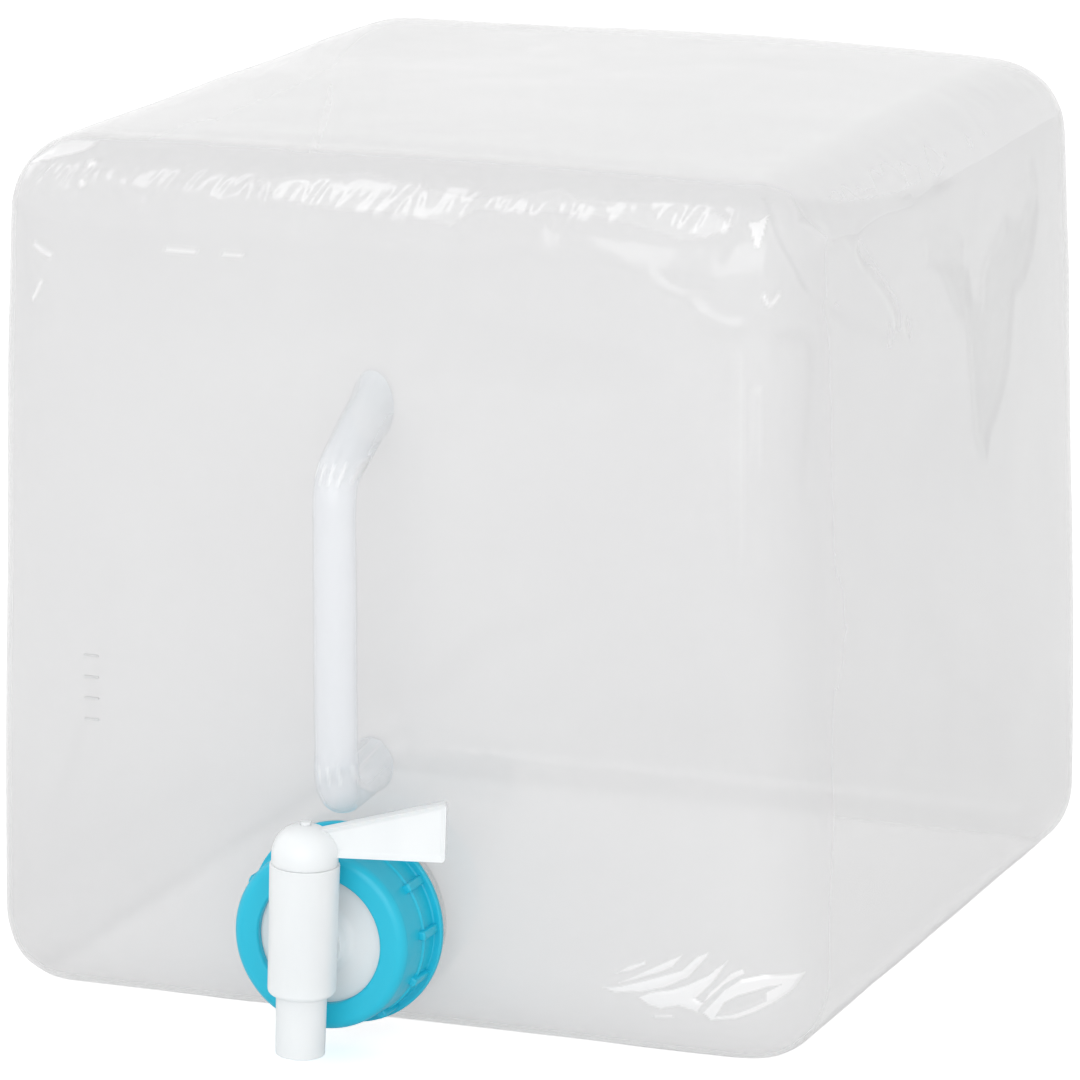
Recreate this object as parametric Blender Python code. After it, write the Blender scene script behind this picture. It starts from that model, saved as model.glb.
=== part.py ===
"""Collapsible water carrier: a thin blow-moulded bag with a hollow carry handle and a threaded neck, and a
lever tap that a screw ring holds on the neck. Metres, +Z up. The origin is the middle of the bag's base, on
the surface that the bag stands on. The neck, the tap and the handle face -Y, and +X is to the right of
someone who looks at them."""

import math

import bmesh
import bpy

# Bag: the filled form, measured over its flat faces before they bulge
BAG_WIDTH = 0.277
BAG_DEPTH = 0.295
BAG_HEIGHT = 0.280
BAG_EDGE_RADIUS = 0.023
BAG_TAPER_SHARE = 0.019
SIDE_BULGE = 0.005
TOP_BULGE = 0.004
FILM_THICKNESS = 0.0006
PANEL_WRAP = 0.027

# Slack: how far each rear top corner hangs in and down, and how closely that keeps to its corner (a power)
LEFT_CORNER_SET_IN = 0.0105
LEFT_CORNER_DROP = 0.0023
LEFT_CORNER_POWER = 1
RIGHT_CORNER_SET_IN = 0.0020
RIGHT_CORNER_DROP = 0.0060
RIGHT_CORNER_POWER = 5

# Clearances
JOINT_GAP = 0.0003
THREAD_CLEARANCE = 0.0004
RUNNING_CLEARANCE = 0.0001
SOCKET_CLEARANCE = 0.00015
CUT_OVERRUN = 0.002

# Neck, on an axis that runs along Y through (NECK_X, NECK_Z)
NECK_X = -0.008
NECK_Z = 0.0405
NECK_LENGTH = 0.0294
NECK_BORE_RADIUS = 0.0235
NECK_WALL = 0.0026
NECK_LIP_ROUNDING = 0.0006
NECK_FOOT_FLARE = 0.0042
NECK_FOOT_HEIGHT = 0.0085
NECK_ROOT_DEPTH = 0.012
NECK_BEAD_HEIGHT = 0.0036
NECK_BEAD_WIDTH = 0.0018
NECK_BEAD_BACKSET = 0.0014

# Thread, one helix shared by the neck and the ring
THREAD_PITCH = 0.005
THREAD_TURNS = 2.0
THREAD_HEIGHT = 0.0016
THREAD_FOOT_WIDTH = 0.0024
THREAD_CREST_WIDTH = 0.0011
THREAD_ROOT_OVERLAP = 0.0005
THREAD_RUNOUT_TURNS = 0.15
THREAD_SETBACK = 0.0024

# Gasket
GASKET_THICKNESS = 0.0017

# Screw ring
RING_DEPTH = 0.024
RING_HOLE_RADIUS = 0.0206
RING_LIP_THICKNESS = 0.0026
RING_LIP_CHAMFER = 0.0012
RING_WALL = 0.0021
RING_FACE_SET_IN = 0.0009
RING_SHOULDER_RADIUS = 0.0032
RING_RIM_HEIGHT = 0.0027
RING_RIM_WIDTH = 0.0022
RING_RIM_EDGE = 0.0006
GRIP_RIB_COUNT = 12
GRIP_RIB_LENGTH = 0.0108
GRIP_RIB_WIDTH = 0.0027
GRIP_RIB_HEIGHT = 0.0013
GRIP_RIB_EDGE = 0.0006
GRIP_RIB_PHASE = math.radians(3)

# Tap body: its barrel crosses the neck's axis in front of the ring, and hangs a little out of plumb
TAP_LEAN = math.radians(2)
BARREL_STANDOFF = 0.0125
BARREL_RADIUS = 0.0110
BARREL_BORE_RADIUS = 0.0092
BARREL_RISE = 0.0288
BARREL_DROP = 0.0118
BARREL_TAPER = 0.0003
BARREL_TOP_EDGE = 0.0006
BARREL_FOOT_CHAMFER = 0.0018
SEAT_RISE = 0.0022
SPOUT_DROP = 0.0333
SPOUT_RADIUS = 0.0080
SPOUT_TAPER = 0.0002
SPOUT_BORE_RADIUS = 0.0062
FLANGE_THICKNESS = 0.0022
FLANGE_DISH_DEPTH = 0.0007
FLANGE_DISH_RADIUS = 0.0190
INLET_RADIUS = 0.0088
INLET_FILLET = 0.0022
INLET_BORE_RADIUS = 0.0058

# Valve plug: turns in the barrel, with a side port that meets the inlet when the lever points forward
PLUG_BORE_RADIUS = 0.0066
PLUG_BORE_RISE = 0.0085
PLUG_PORT_RADIUS = 0.0055
PLUG_TOP_SETBACK = 0.0010
PLUG_SEAL_RISE = 0.0150
PLUG_SEAL_SECTION = 0.0015
PLUG_SEAL_GROOVE_WIDTH = 0.0019
PLUG_BEAD_RISE = 0.0235
PLUG_BEAD_HEIGHT = 0.0004
PLUG_BEAD_WIDTH = 0.0012
STEM_WIDTH = 0.0064
STEM_HEIGHT = 0.0105
STEM_PIP_RADIUS = 0.0016
STEM_PIP_STANDOUT = 0.0009

# Lever: a domed knob with a flat wing, clipped on the plug's stem
LEVER_REST_ANGLE = math.radians(18)
KNOB_RADIUS = 0.0105
KNOB_HEIGHT = 0.0124
KNOB_DOME_HEIGHT = 0.0098
KNOB_SKIRT_EDGE = 0.0005
WING_LENGTH = 0.0438
WING_FOOT_RISE = 0.0026
WING_ROOT_HEIGHT = 0.0082
WING_END_HEIGHT = 0.0190
WING_THICKNESS = 0.0048
WING_WEB_THICKNESS = 0.0018
WING_RIM_WIDTH = 0.0016
WING_CORNER_RADIUS = 0.0012
WING_ROOT_OFFSET = 0.0030

# Carry handle: a hollow loop in the plane X = HANDLE_X
HANDLE_X = -0.0025
HANDLE_STANDOFF = 0.0340
HANDLE_RADIUS = 0.0069
HANDLE_WALL = 0.0009
HANDLE_ROOT_DEPTH = 0.0110
HANDLE_BOTTOM_Z = 0.0868
HANDLE_TOP_Z = 0.1890
HANDLE_BOTTOM_ROOT_Z = 0.0905
HANDLE_TOP_ROOT_Z = 0.2060
HANDLE_BOTTOM_BEND = 0.0080
HANDLE_TOP_BEND = 0.0150
HANDLE_BOTTOM_GROWTH_SHARE = 1.25
HANDLE_TOP_GROWTH_SHARE = 1.60

# Fineness
BAG_CUTS = 6
BAG_EDGE_SEGMENTS = 4
ROUND_STEPS = 36
BARREL_STEPS = 32
HANDLE_SIDES = 14
BEND_STEPS = 6
SHOULDER_STEPS = 4
SEAL_SIDES = 6
GRIP_RIB_EDGE_SEGMENTS = 2
WING_CORNER_SEGMENTS = 3
WELD_DISTANCE = 0.000001
SMOOTH_ANGLE = math.radians(35)
SQUARE_CORNER_ANGLE = math.radians(45)

# Places that follow from the sizes above, as distances out from the bag's middle along the neck's axis
NECK_ROOT_RADIUS = NECK_BORE_RADIUS + NECK_WALL
NECK_MOUTH = BAG_DEPTH / 2 + NECK_LENGTH
FLANGE_BACK = NECK_MOUTH + JOINT_GAP + GASKET_THICKNESS + JOINT_GAP
FLANGE_FRONT = FLANGE_BACK + FLANGE_THICKNESS
RING_FRONT = FLANGE_FRONT + JOINT_GAP + RING_LIP_THICKNESS
RING_BACK = RING_FRONT - RING_DEPTH
RING_CAVITY_RADIUS = NECK_ROOT_RADIUS + THREAD_HEIGHT + THREAD_CLEARANCE
BARREL_REACH = RING_FRONT + BARREL_STANDOFF
PLUG_RADIUS = BARREL_BORE_RADIUS - RUNNING_CLEARANCE
KNOB_BASE = BARREL_RISE + JOINT_GAP

COLOURS = {
    "film": ((0.80, 0.80, 0.82, 1.0), 0.18),
    "handle": ((0.78, 0.82, 0.86, 1.0), 0.25),
    "teal": ((0.03, 0.53, 0.74, 1.0), 0.35),
    "white": ((0.83, 0.86, 0.87, 1.0), 0.40),
    "rubber": ((0.10, 0.10, 0.10, 1.0), 0.80),
}


def clear_scene():
    for old in list(bpy.data.objects):
        bpy.data.objects.remove(old, do_unlink=True)


def finish_for(name):
    """Plastic or rubber finish, made once for each name in COLOURS."""
    material = bpy.data.materials.get(name)
    if material is None:
        colour, roughness = COLOURS[name]
        material = bpy.data.materials.new(name)
        material.use_nodes = True
        shader = material.node_tree.nodes["Principled BSDF"]
        shader.inputs["Base Color"].default_value = colour
        shader.inputs["Roughness"].default_value = roughness
        shader.inputs["Metallic"].default_value = 0.0
    return material


def frame_empty(name, location, rotation):
    """Empty that carries the pieces of one axis."""
    empty = bpy.data.objects.new(name, None)
    empty.location = location
    empty.rotation_euler = rotation
    bpy.context.scene.collection.objects.link(empty)
    return empty


def placed(name, shape, parent=None, location=(0, 0, 0), rotation=(0, 0, 0)):
    """Object from a bmesh, which is used up."""
    mesh = bpy.data.meshes.new(name)
    shape.to_mesh(mesh)
    shape.free()
    mesh.shade_smooth()
    mesh.set_sharp_from_angle(angle=SMOOTH_ANGLE)
    made = bpy.data.objects.new(name, mesh)
    made.location = location
    made.rotation_euler = rotation
    made.parent = parent
    bpy.context.scene.collection.objects.link(made)
    return made


def piece(name, finish, shape, **place):
    made = placed(name, shape, **place)
    made.data.materials.append(finish_for(finish))
    return made


def tool(name, shape, **place):
    """Helper that only shapes other pieces."""
    made = placed(name, shape, **place)
    made.hide_render = True
    made.display_type = "WIRE"
    return made


def combine(target, helper, operation):
    step = target.modifiers.new(helper.name, "BOOLEAN")
    step.operation = operation
    step.object = helper


def join(target, *helpers):
    for helper in helpers:
        combine(target, helper, "UNION")


def cut(target, *helpers):
    for helper in helpers:
        combine(target, helper, "DIFFERENCE")


def turned(outline, steps=BARREL_STEPS):
    """Body turned about local Z from a closed outline of (radius, height) points, open along the axis."""
    shape = bmesh.new()
    points = [shape.verts.new((radius, 0, height)) for radius, height in outline]
    sides = [
        shape.edges.new((near, far))
        for near, far in zip(points, points[1:] + points[:1])
        if near.co.x > 0 or far.co.x > 0
    ]
    turn = {"cent": (0, 0, 0), "axis": (0, 0, 1), "angle": math.tau, "steps": steps}
    bmesh.ops.spin(shape, geom=points + sides, use_merge=True, **turn)
    bmesh.ops.remove_doubles(shape, verts=shape.verts, dist=WELD_DISTANCE)
    bmesh.ops.recalc_face_normals(shape, faces=shape.faces)
    return shape


def rod(radius, low, high, steps=BARREL_STEPS):
    return turned([(0, low), (radius, low), (radius, high), (0, high)], steps)


def arc(centre, radius, start, end, steps):
    """Points on a circle from one angle to another, both ends included."""
    across, up = centre
    angles = [start + (end - start) * step / steps for step in range(steps + 1)]
    return [(across + radius * math.cos(angle), up + radius * math.sin(angle)) for angle in angles]


def block(low, high):
    """Box between two corners."""
    shape = bmesh.new()
    bmesh.ops.create_cube(shape, size=1)
    for vert in shape.verts:
        for axis in range(3):
            vert.co[axis] = high[axis] if vert.co[axis] > 0 else low[axis]
    return shape


def rounded(shape, edges, radius, segments):
    bmesh.ops.bevel(
        shape, geom=edges, offset=radius, segments=segments, profile=0.5, affect="EDGES", material=-1
    )


def skinned(rings):
    """Closed body through rings of points, each joined to the next and the two ends capped."""
    shape = bmesh.new()
    loops = [[shape.verts.new(point) for point in ring] for ring in rings]
    for near, far in zip(loops, loops[1:]):
        for side in range(len(near)):
            after = (side + 1) % len(near)
            shape.faces.new((near[side], near[after], far[after], far[side]))
    shape.faces.new(loops[0])
    shape.faces.new(loops[-1])
    bmesh.ops.recalc_face_normals(shape, faces=shape.faces)
    bmesh.ops.triangulate(shape, faces=shape.faces)
    return shape


def thread_rib(wall_radius, height, start, into_wall):
    """One start of a right-hand thread on a wall round local Z, which sinks into the wall at both ends.
    Height and into_wall are positive outwards."""
    steps = round(THREAD_TURNS * ROUND_STEPS)
    rings = []
    for step in range(steps + 1):
        turns = THREAD_TURNS * step / steps
        angle = math.tau * turns
        middle = start + THREAD_PITCH * turns
        standing = min(1, turns / THREAD_RUNOUT_TURNS, (THREAD_TURNS - turns) / THREAD_RUNOUT_TURNS)
        crest = wall_radius + height * standing + into_wall * (1 - standing) / 2
        foot = wall_radius + into_wall
        section = [
            (foot, middle - THREAD_FOOT_WIDTH / 2),
            (crest, middle - THREAD_CREST_WIDTH / 2),
            (crest, middle + THREAD_CREST_WIDTH / 2),
            (foot, middle + THREAD_FOOT_WIDTH / 2),
        ]
        rings.append([(radius * math.cos(angle), radius * math.sin(angle), rise) for radius, rise in section])
    return skinned(rings)


# Bag


def slacken_corners(vert, across, along, up):
    """Draws a point in and down where it lies near a rear top corner. Its place is in shares from -1 to 1."""
    slack = (
        (-1, LEFT_CORNER_SET_IN, LEFT_CORNER_DROP, LEFT_CORNER_POWER),
        (1, RIGHT_CORNER_SET_IN, RIGHT_CORNER_DROP, RIGHT_CORNER_POWER),
    )
    for side, set_in, drop, power in slack:
        nearness = (1 + side * across) / 2 * (1 + along) / 2 * ((1 + up) / 2) ** 2
        share = max(nearness, 0) ** power
        vert.co.x -= side * set_in * share
        vert.co.z -= drop * share


def bag_form(grown, front=None, back=None):
    """Skin of the filled bag, grown outwards by a clearance, and kept between two places along Y if given."""
    width, depth, height = (size + 2 * grown for size in (BAG_WIDTH, BAG_DEPTH, BAG_HEIGHT))
    middle = BAG_HEIGHT / 2
    form = block((-width / 2, -depth / 2, middle - height / 2), (width / 2, depth / 2, middle + height / 2))
    bmesh.ops.subdivide_edges(form, edges=form.edges[:], cuts=BAG_CUTS, use_grid_fill=True)
    corners = [edge for edge in form.edges if edge.calc_face_angle(0) > SQUARE_CORNER_ANGLE]
    rounded(form, corners, BAG_EDGE_RADIUS + grown, BAG_EDGE_SEGMENTS)
    for place, outside in ((front, -1), (back, 1)):
        if place is not None:
            everything = form.verts[:] + form.edges[:] + form.faces[:]
            plane = {"plane_co": (0, place, 0), "plane_no": (0, outside, 0)}
            bmesh.ops.bisect_plane(form, geom=everything, clear_outer=True, **plane)
    for vert in form.verts:
        across = vert.co.x / (width / 2)
        along = vert.co.y / (depth / 2)
        up = (vert.co.z - middle) / (height / 2)
        vert.co.x += SIDE_BULGE * across**3 * (1 - along**2) * (1 - up**2)
        vert.co.y += SIDE_BULGE * along**3 * (1 - across**2) * (1 - up**2)
        vert.co.z += TOP_BULGE * max(up, 0) ** 3 * (1 - across**2) * (1 - along**2)
        vert.co.x *= 1 - BAG_TAPER_SHARE * up
        vert.co.y *= 1 - BAG_TAPER_SHARE * up
        slacken_corners(vert, across, along, up)
    bmesh.ops.recalc_face_normals(form, faces=form.faces)
    bmesh.ops.triangulate(form, faces=form.faces)
    return form


def bag_wall(name, front=None, back=None):
    """One stretch of the bag's film, between two planes across Y."""
    wall = piece(name, "film", bag_form(0, front, back))
    film = wall.modifiers.new("film", "SOLIDIFY")
    film.thickness = FILM_THICKNESS
    film.offset = -1
    film.use_even_offset = True
    return wall


def make_bag():
    """The bag in three stretches, so that the rear one can move up to the front one."""
    seam = BAG_DEPTH / 2 - PANEL_WRAP
    half_gap = JOINT_GAP / 2
    front = bag_wall("bag_front_panel", back=-seam - half_gap)
    bag_wall("bag_side_walls", front=-seam + half_gap, back=seam - half_gap)
    bag_wall("bag_rear_panel", front=seam + half_gap)
    return front


def make_neck(axis, bag_space):
    """Threaded neck that stands on the front panel, its foot shaped to the panel's curve."""
    foot = BAG_DEPTH / 2 - NECK_ROOT_DEPTH
    bead_front = RING_BACK - NECK_BEAD_BACKSET
    bead_back = bead_front - NECK_BEAD_WIDTH
    bead_radius = NECK_ROOT_RADIUS + NECK_BEAD_HEIGHT
    flare_end = BAG_DEPTH / 2 + NECK_FOOT_HEIGHT
    flare_radius = NECK_ROOT_RADIUS + NECK_FOOT_FLARE
    outline = [(NECK_BORE_RADIUS, foot), (flare_radius, foot), (flare_radius, BAG_DEPTH / 2)]
    outline += [(NECK_ROOT_RADIUS, min(flare_end, bead_back - NECK_LIP_ROUNDING))]
    outline += [(NECK_ROOT_RADIUS, bead_back), (bead_radius - NECK_LIP_ROUNDING, bead_back)]
    outline += [(bead_radius, bead_back + NECK_LIP_ROUNDING), (bead_radius, bead_front - NECK_LIP_ROUNDING)]
    outline += [(bead_radius - NECK_LIP_ROUNDING, bead_front), (NECK_ROOT_RADIUS, bead_front)]
    outline += [(NECK_ROOT_RADIUS, NECK_MOUTH - NECK_LIP_ROUNDING)]
    outline += [(NECK_ROOT_RADIUS - NECK_LIP_ROUNDING, NECK_MOUTH), (NECK_BORE_RADIUS, NECK_MOUTH)]
    neck = piece("threaded_neck", "film", turned(outline, ROUND_STEPS), parent=axis)
    start = NECK_MOUTH - THREAD_SETBACK - THREAD_PITCH * THREAD_TURNS
    rib = thread_rib(NECK_ROOT_RADIUS, THREAD_HEIGHT, start, -THREAD_ROOT_OVERLAP)
    join(neck, tool("neck_thread", rib, parent=axis))
    cut(neck, bag_space)
    return start


def make_neck_opening(axis, front_panel):
    bore = rod(NECK_BORE_RADIUS, BAG_DEPTH / 2 - NECK_ROOT_DEPTH, NECK_MOUTH, ROUND_STEPS)
    cut(front_panel, tool("neck_opening", bore, parent=axis))


# Handle


def handle_route(overrun):
    """Middle line of the handle as (forward, height, tall share) from its lower root to its upper one. The
    tall share grows towards the roots, where the tube widens into the panel."""
    root = BAG_DEPTH / 2 - HANDLE_ROOT_DEPTH - overrun
    bar = BAG_DEPTH / 2 + HANDLE_STANDOFF
    corners = [(root, HANDLE_BOTTOM_ROOT_Z), (bar, HANDLE_BOTTOM_Z)]
    corners += [(bar, HANDLE_TOP_Z), (root, HANDLE_TOP_ROOT_Z)]
    route = [corners[0]]
    for corner, bend in ((1, HANDLE_BOTTOM_BEND), (2, HANDLE_TOP_BEND)):
        before, here, after = corners[corner - 1 : corner + 2]
        incoming = math.atan2(here[1] - before[1], here[0] - before[0])
        outgoing = math.atan2(after[1] - here[1], after[0] - here[0])
        turn = (outgoing - incoming) % math.tau
        run = bend * math.tan(turn / 2)
        start = (here[0] - run * math.cos(incoming), here[1] - run * math.sin(incoming))
        centre = (start[0] - bend * math.sin(incoming), start[1] + bend * math.cos(incoming))
        quarter = math.pi / 2
        route += arc(centre, bend, incoming - quarter, incoming + turn - quarter, BEND_STEPS)
    route.append(corners[3])
    grown = []
    for forward, height in route:
        back = (bar - forward) / HANDLE_STANDOFF
        upper = height > (HANDLE_BOTTOM_Z + HANDLE_TOP_Z) / 2
        growth = HANDLE_TOP_GROWTH_SHARE if upper else HANDLE_BOTTOM_GROWTH_SHARE
        grown.append((forward, height, 1 + (growth - 1) * max(back, 0)))
    return grown


def handle_tube(radius, overrun):
    """Tube of one radius along the handle's route, run further into the bag at both ends by an overrun."""
    route = handle_route(overrun)
    rings = []
    for index, (forward, height, tall) in enumerate(route):
        before = route[max(index - 1, 0)]
        after = route[min(index + 1, len(route) - 1)]
        heading = math.atan2(after[1] - before[1], after[0] - before[0])
        ring = []
        for side in range(HANDLE_SIDES):
            angle = math.tau * side / HANDLE_SIDES
            sideways = radius * math.cos(angle)
            outward = radius * tall * math.sin(angle)
            place = (forward + outward * math.sin(heading), height - outward * math.cos(heading))
            ring.append((HANDLE_X + sideways, -place[0], place[1]))
        rings.append(ring)
    return skinned(rings)


def make_handle(front_panel, bag_space):
    """Hollow handle, open into the bag at both ends."""
    handle = piece("carry_handle", "handle", handle_tube(HANDLE_RADIUS, 0))
    hollow = tool("handle_hollow", handle_tube(HANDLE_RADIUS - HANDLE_WALL, CUT_OVERRUN))
    cut(handle, hollow, bag_space)
    cut(front_panel, hollow)


# Ring and gasket


def grip_ribs():
    """Short ribs round the back of the ring, just in front of its rim."""
    wall = RING_CAVITY_RADIUS + RING_WALL
    ribs = bmesh.new()
    for index in range(GRIP_RIB_COUNT):
        low = (RING_CAVITY_RADIUS + RING_WALL / 2, -GRIP_RIB_WIDTH / 2, RING_RIM_WIDTH / 2)
        high = (wall + GRIP_RIB_HEIGHT, GRIP_RIB_WIDTH / 2, RING_RIM_WIDTH + GRIP_RIB_LENGTH)
        rib = block(low, high)
        outer = [edge for edge in rib.edges if min(vert.co.x for vert in edge.verts) > wall]
        rounded(rib, outer, GRIP_RIB_EDGE, GRIP_RIB_EDGE_SEGMENTS)
        turn = GRIP_RIB_PHASE + math.tau * index / GRIP_RIB_COUNT
        for vert in rib.verts:
            across, along = vert.co.x, vert.co.y
            vert.co.x = across * math.cos(turn) - along * math.sin(turn)
            vert.co.y = across * math.sin(turn) + along * math.cos(turn)
        mesh = bpy.data.meshes.new("grip_rib")
        rib.to_mesh(mesh)
        rib.free()
        ribs.from_mesh(mesh)
        bpy.data.meshes.remove(mesh)
    return ribs


def make_ring(axis, neck_thread_start):
    """Screw ring, measured along its own axis from its back face."""
    wall = RING_CAVITY_RADIUS + RING_WALL
    rim = wall + RING_RIM_HEIGHT
    face = wall - RING_FACE_SET_IN
    inner_lip = RING_DEPTH - RING_LIP_THICKNESS
    outline = [(RING_CAVITY_RADIUS, 0), (rim - RING_RIM_EDGE, 0), (rim, RING_RIM_EDGE)]
    outline += [(rim, RING_RIM_WIDTH - RING_RIM_EDGE), (rim - RING_RIM_EDGE, RING_RIM_WIDTH)]
    outline += [(wall, RING_RIM_WIDTH)]
    shoulder = (face - RING_SHOULDER_RADIUS, RING_DEPTH - RING_SHOULDER_RADIUS)
    outline += arc(shoulder, RING_SHOULDER_RADIUS, 0, math.pi / 2, SHOULDER_STEPS)
    outline += [(RING_HOLE_RADIUS + RING_LIP_CHAMFER, RING_DEPTH)]
    outline += [(RING_HOLE_RADIUS, RING_DEPTH - RING_LIP_CHAMFER), (RING_HOLE_RADIUS, inner_lip)]
    outline += [(RING_CAVITY_RADIUS, inner_lip)]
    back = (0, 0, RING_BACK)
    ring = piece("screw_ring", "teal", turned(outline, ROUND_STEPS), parent=axis, location=back)
    start = neck_thread_start - THREAD_PITCH / 2 - RING_BACK
    rib = thread_rib(RING_CAVITY_RADIUS, -THREAD_HEIGHT, start, THREAD_ROOT_OVERLAP)
    join(
        ring,
        tool("ring_thread", rib, parent=axis, location=back),
        tool("ring_grip_ribs", grip_ribs(), parent=axis, location=back),
    )


def make_gasket(axis):
    low = NECK_MOUTH + JOINT_GAP
    high = low + GASKET_THICKNESS
    outline = [(NECK_BORE_RADIUS, low), (NECK_ROOT_RADIUS, low)]
    outline += [(NECK_ROOT_RADIUS, high), (NECK_BORE_RADIUS, high)]
    piece("neck_gasket", "rubber", turned(outline, ROUND_STEPS), parent=axis)


# Tap


def barrel_outline():
    foot_radius = BARREL_RADIUS - BARREL_TAPER
    foot = -BARREL_DROP - BARREL_FOOT_CHAMFER
    return [
        (0, BARREL_RISE),
        (BARREL_RADIUS - BARREL_TOP_EDGE, BARREL_RISE),
        (BARREL_RADIUS, BARREL_RISE - BARREL_TOP_EDGE),
        (foot_radius, -BARREL_DROP),
        (foot_radius - BARREL_FOOT_CHAMFER, foot),
        (SPOUT_RADIUS, foot),
        (SPOUT_RADIUS - SPOUT_TAPER, -SPOUT_DROP),
        (0, -SPOUT_DROP),
    ]


def bore_outline():
    """Space inside the barrel and the spout, with the groove that keeps the plug's bead."""
    groove_radius = BARREL_BORE_RADIUS + PLUG_BEAD_HEIGHT
    groove_low = PLUG_BEAD_RISE - PLUG_BEAD_WIDTH / 2 - JOINT_GAP
    groove_high = PLUG_BEAD_RISE + PLUG_BEAD_WIDTH / 2 + JOINT_GAP
    seat = SEAT_RISE - BARREL_DROP
    return [
        (0, BARREL_RISE + CUT_OVERRUN),
        (BARREL_BORE_RADIUS, BARREL_RISE + CUT_OVERRUN),
        (BARREL_BORE_RADIUS, groove_high),
        (groove_radius, groove_high),
        (groove_radius, groove_low),
        (BARREL_BORE_RADIUS, groove_low),
        (BARREL_BORE_RADIUS, seat),
        (SPOUT_BORE_RADIUS, seat),
        (SPOUT_BORE_RADIUS, -SPOUT_DROP - CUT_OVERRUN),
        (0, -SPOUT_DROP - CUT_OVERRUN),
    ]


def inlet_outline():
    """Flange, fillet and inlet pipe, along the neck's axis from where the barrel crosses it."""
    back = FLANGE_BACK - BARREL_REACH
    front = FLANGE_FRONT - BARREL_REACH
    dish = front - FLANGE_DISH_DEPTH
    fillet = (INLET_RADIUS + INLET_FILLET, dish + INLET_FILLET)
    outline = [(0, back), (NECK_ROOT_RADIUS, back), (NECK_ROOT_RADIUS, front), (FLANGE_DISH_RADIUS, front)]
    outline += [(FLANGE_DISH_RADIUS - FLANGE_DISH_DEPTH, dish)]
    outline += arc(fillet, INLET_FILLET, -math.pi / 2, -math.pi, SHOULDER_STEPS)
    return outline + [(INLET_RADIUS, -BARREL_BORE_RADIUS / 2), (0, -BARREL_BORE_RADIUS / 2)]


def make_tap_body(frame):
    """Flange, inlet, barrel and spout, moulded as one."""
    outward = {"parent": frame, "rotation": (math.pi / 2, 0, 0)}
    body = piece("tap_body", "white", turned(barrel_outline()), parent=frame)
    join(body, tool("tap_inlet", turned(inlet_outline(), ROUND_STEPS), **outward))
    inlet_bore = rod(INLET_BORE_RADIUS, FLANGE_BACK - BARREL_REACH - CUT_OVERRUN, 0)
    cut(
        body,
        tool("tap_bore", turned(bore_outline()), parent=frame),
        tool("tap_inlet_bore", inlet_bore, **outward),
    )


def plug_outline():
    """Plug from its open foot to its top, with the seal's groove and the bead that keeps it in the barrel."""
    foot = SEAT_RISE - BARREL_DROP + JOINT_GAP
    top = BARREL_RISE - PLUG_TOP_SETBACK
    groove = PLUG_RADIUS - PLUG_SEAL_SECTION
    groove_low = PLUG_SEAL_RISE - PLUG_SEAL_GROOVE_WIDTH / 2
    groove_high = PLUG_SEAL_RISE + PLUG_SEAL_GROOVE_WIDTH / 2
    bead_low = PLUG_BEAD_RISE - PLUG_BEAD_WIDTH / 2
    bead_high = PLUG_BEAD_RISE + PLUG_BEAD_WIDTH / 2
    bead_radius = PLUG_RADIUS + PLUG_BEAD_HEIGHT
    outline = [(0, PLUG_BORE_RISE), (PLUG_BORE_RADIUS, PLUG_BORE_RISE), (PLUG_BORE_RADIUS, foot)]
    outline += [(PLUG_RADIUS, foot), (PLUG_RADIUS, groove_low), (groove, groove_low)]
    outline += [(groove, groove_high), (PLUG_RADIUS, groove_high), (PLUG_RADIUS, bead_low)]
    outline += [(bead_radius, bead_low), (bead_radius, bead_high), (PLUG_RADIUS, bead_high)]
    return outline + [(PLUG_RADIUS, top), (0, top)]


def square_bar(width, low, high):
    return block((-width / 2, -width / 2, low), (width / 2, width / 2, high))


def make_plug(frame):
    """Hollow plug with a side port, which faces -X when shut, and the square stem and pip that carry the
    lever."""
    top = BARREL_RISE - PLUG_TOP_SETBACK
    plug = piece("valve_plug", "white", turned(plug_outline()), parent=frame)
    stem = tool("plug_stem", square_bar(STEM_WIDTH, PLUG_BEAD_RISE, top + STEM_HEIGHT), parent=frame)
    stem.rotation_euler.z = LEVER_REST_ANGLE
    pip_top = KNOB_BASE + KNOB_HEIGHT + STEM_PIP_STANDOUT
    pip = tool("plug_pip", rod(STEM_PIP_RADIUS, top, pip_top), parent=frame)
    port = tool("plug_port", rod(PLUG_PORT_RADIUS, 0, PLUG_RADIUS + CUT_OVERRUN), parent=frame)
    port.rotation_euler.y = -math.pi / 2
    join(plug, stem, pip)
    cut(plug, port)
    section = PLUG_SEAL_SECTION / 2 - RUNNING_CLEARANCE / 2
    seal = (PLUG_RADIUS - PLUG_SEAL_SECTION / 2 + RUNNING_CLEARANCE / 2, PLUG_SEAL_RISE)
    circle = arc(seal, section, 0, math.tau, SEAL_SIDES)[:-1]
    piece("plug_seal", "rubber", turned(circle), parent=frame)


def wing_outline(inset):
    """Side view of the lever's wing as (reach, height) points, drawn in by an inset all round."""
    foot = WING_FOOT_RISE + inset
    slope = (WING_END_HEIGHT - WING_ROOT_HEIGHT) / (WING_LENGTH - WING_ROOT_OFFSET)
    root = KNOB_RADIUS + inset if inset else WING_ROOT_OFFSET
    end = WING_LENGTH - inset
    drop = inset * math.hypot(1, slope)
    root_top = WING_FOOT_RISE + WING_ROOT_HEIGHT + slope * (root - WING_ROOT_OFFSET) - drop
    end_top = WING_FOOT_RISE + WING_ROOT_HEIGHT + slope * (end - WING_ROOT_OFFSET) - drop
    return [(root, foot), (end, foot), (end, end_top), (root, root_top)]


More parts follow.
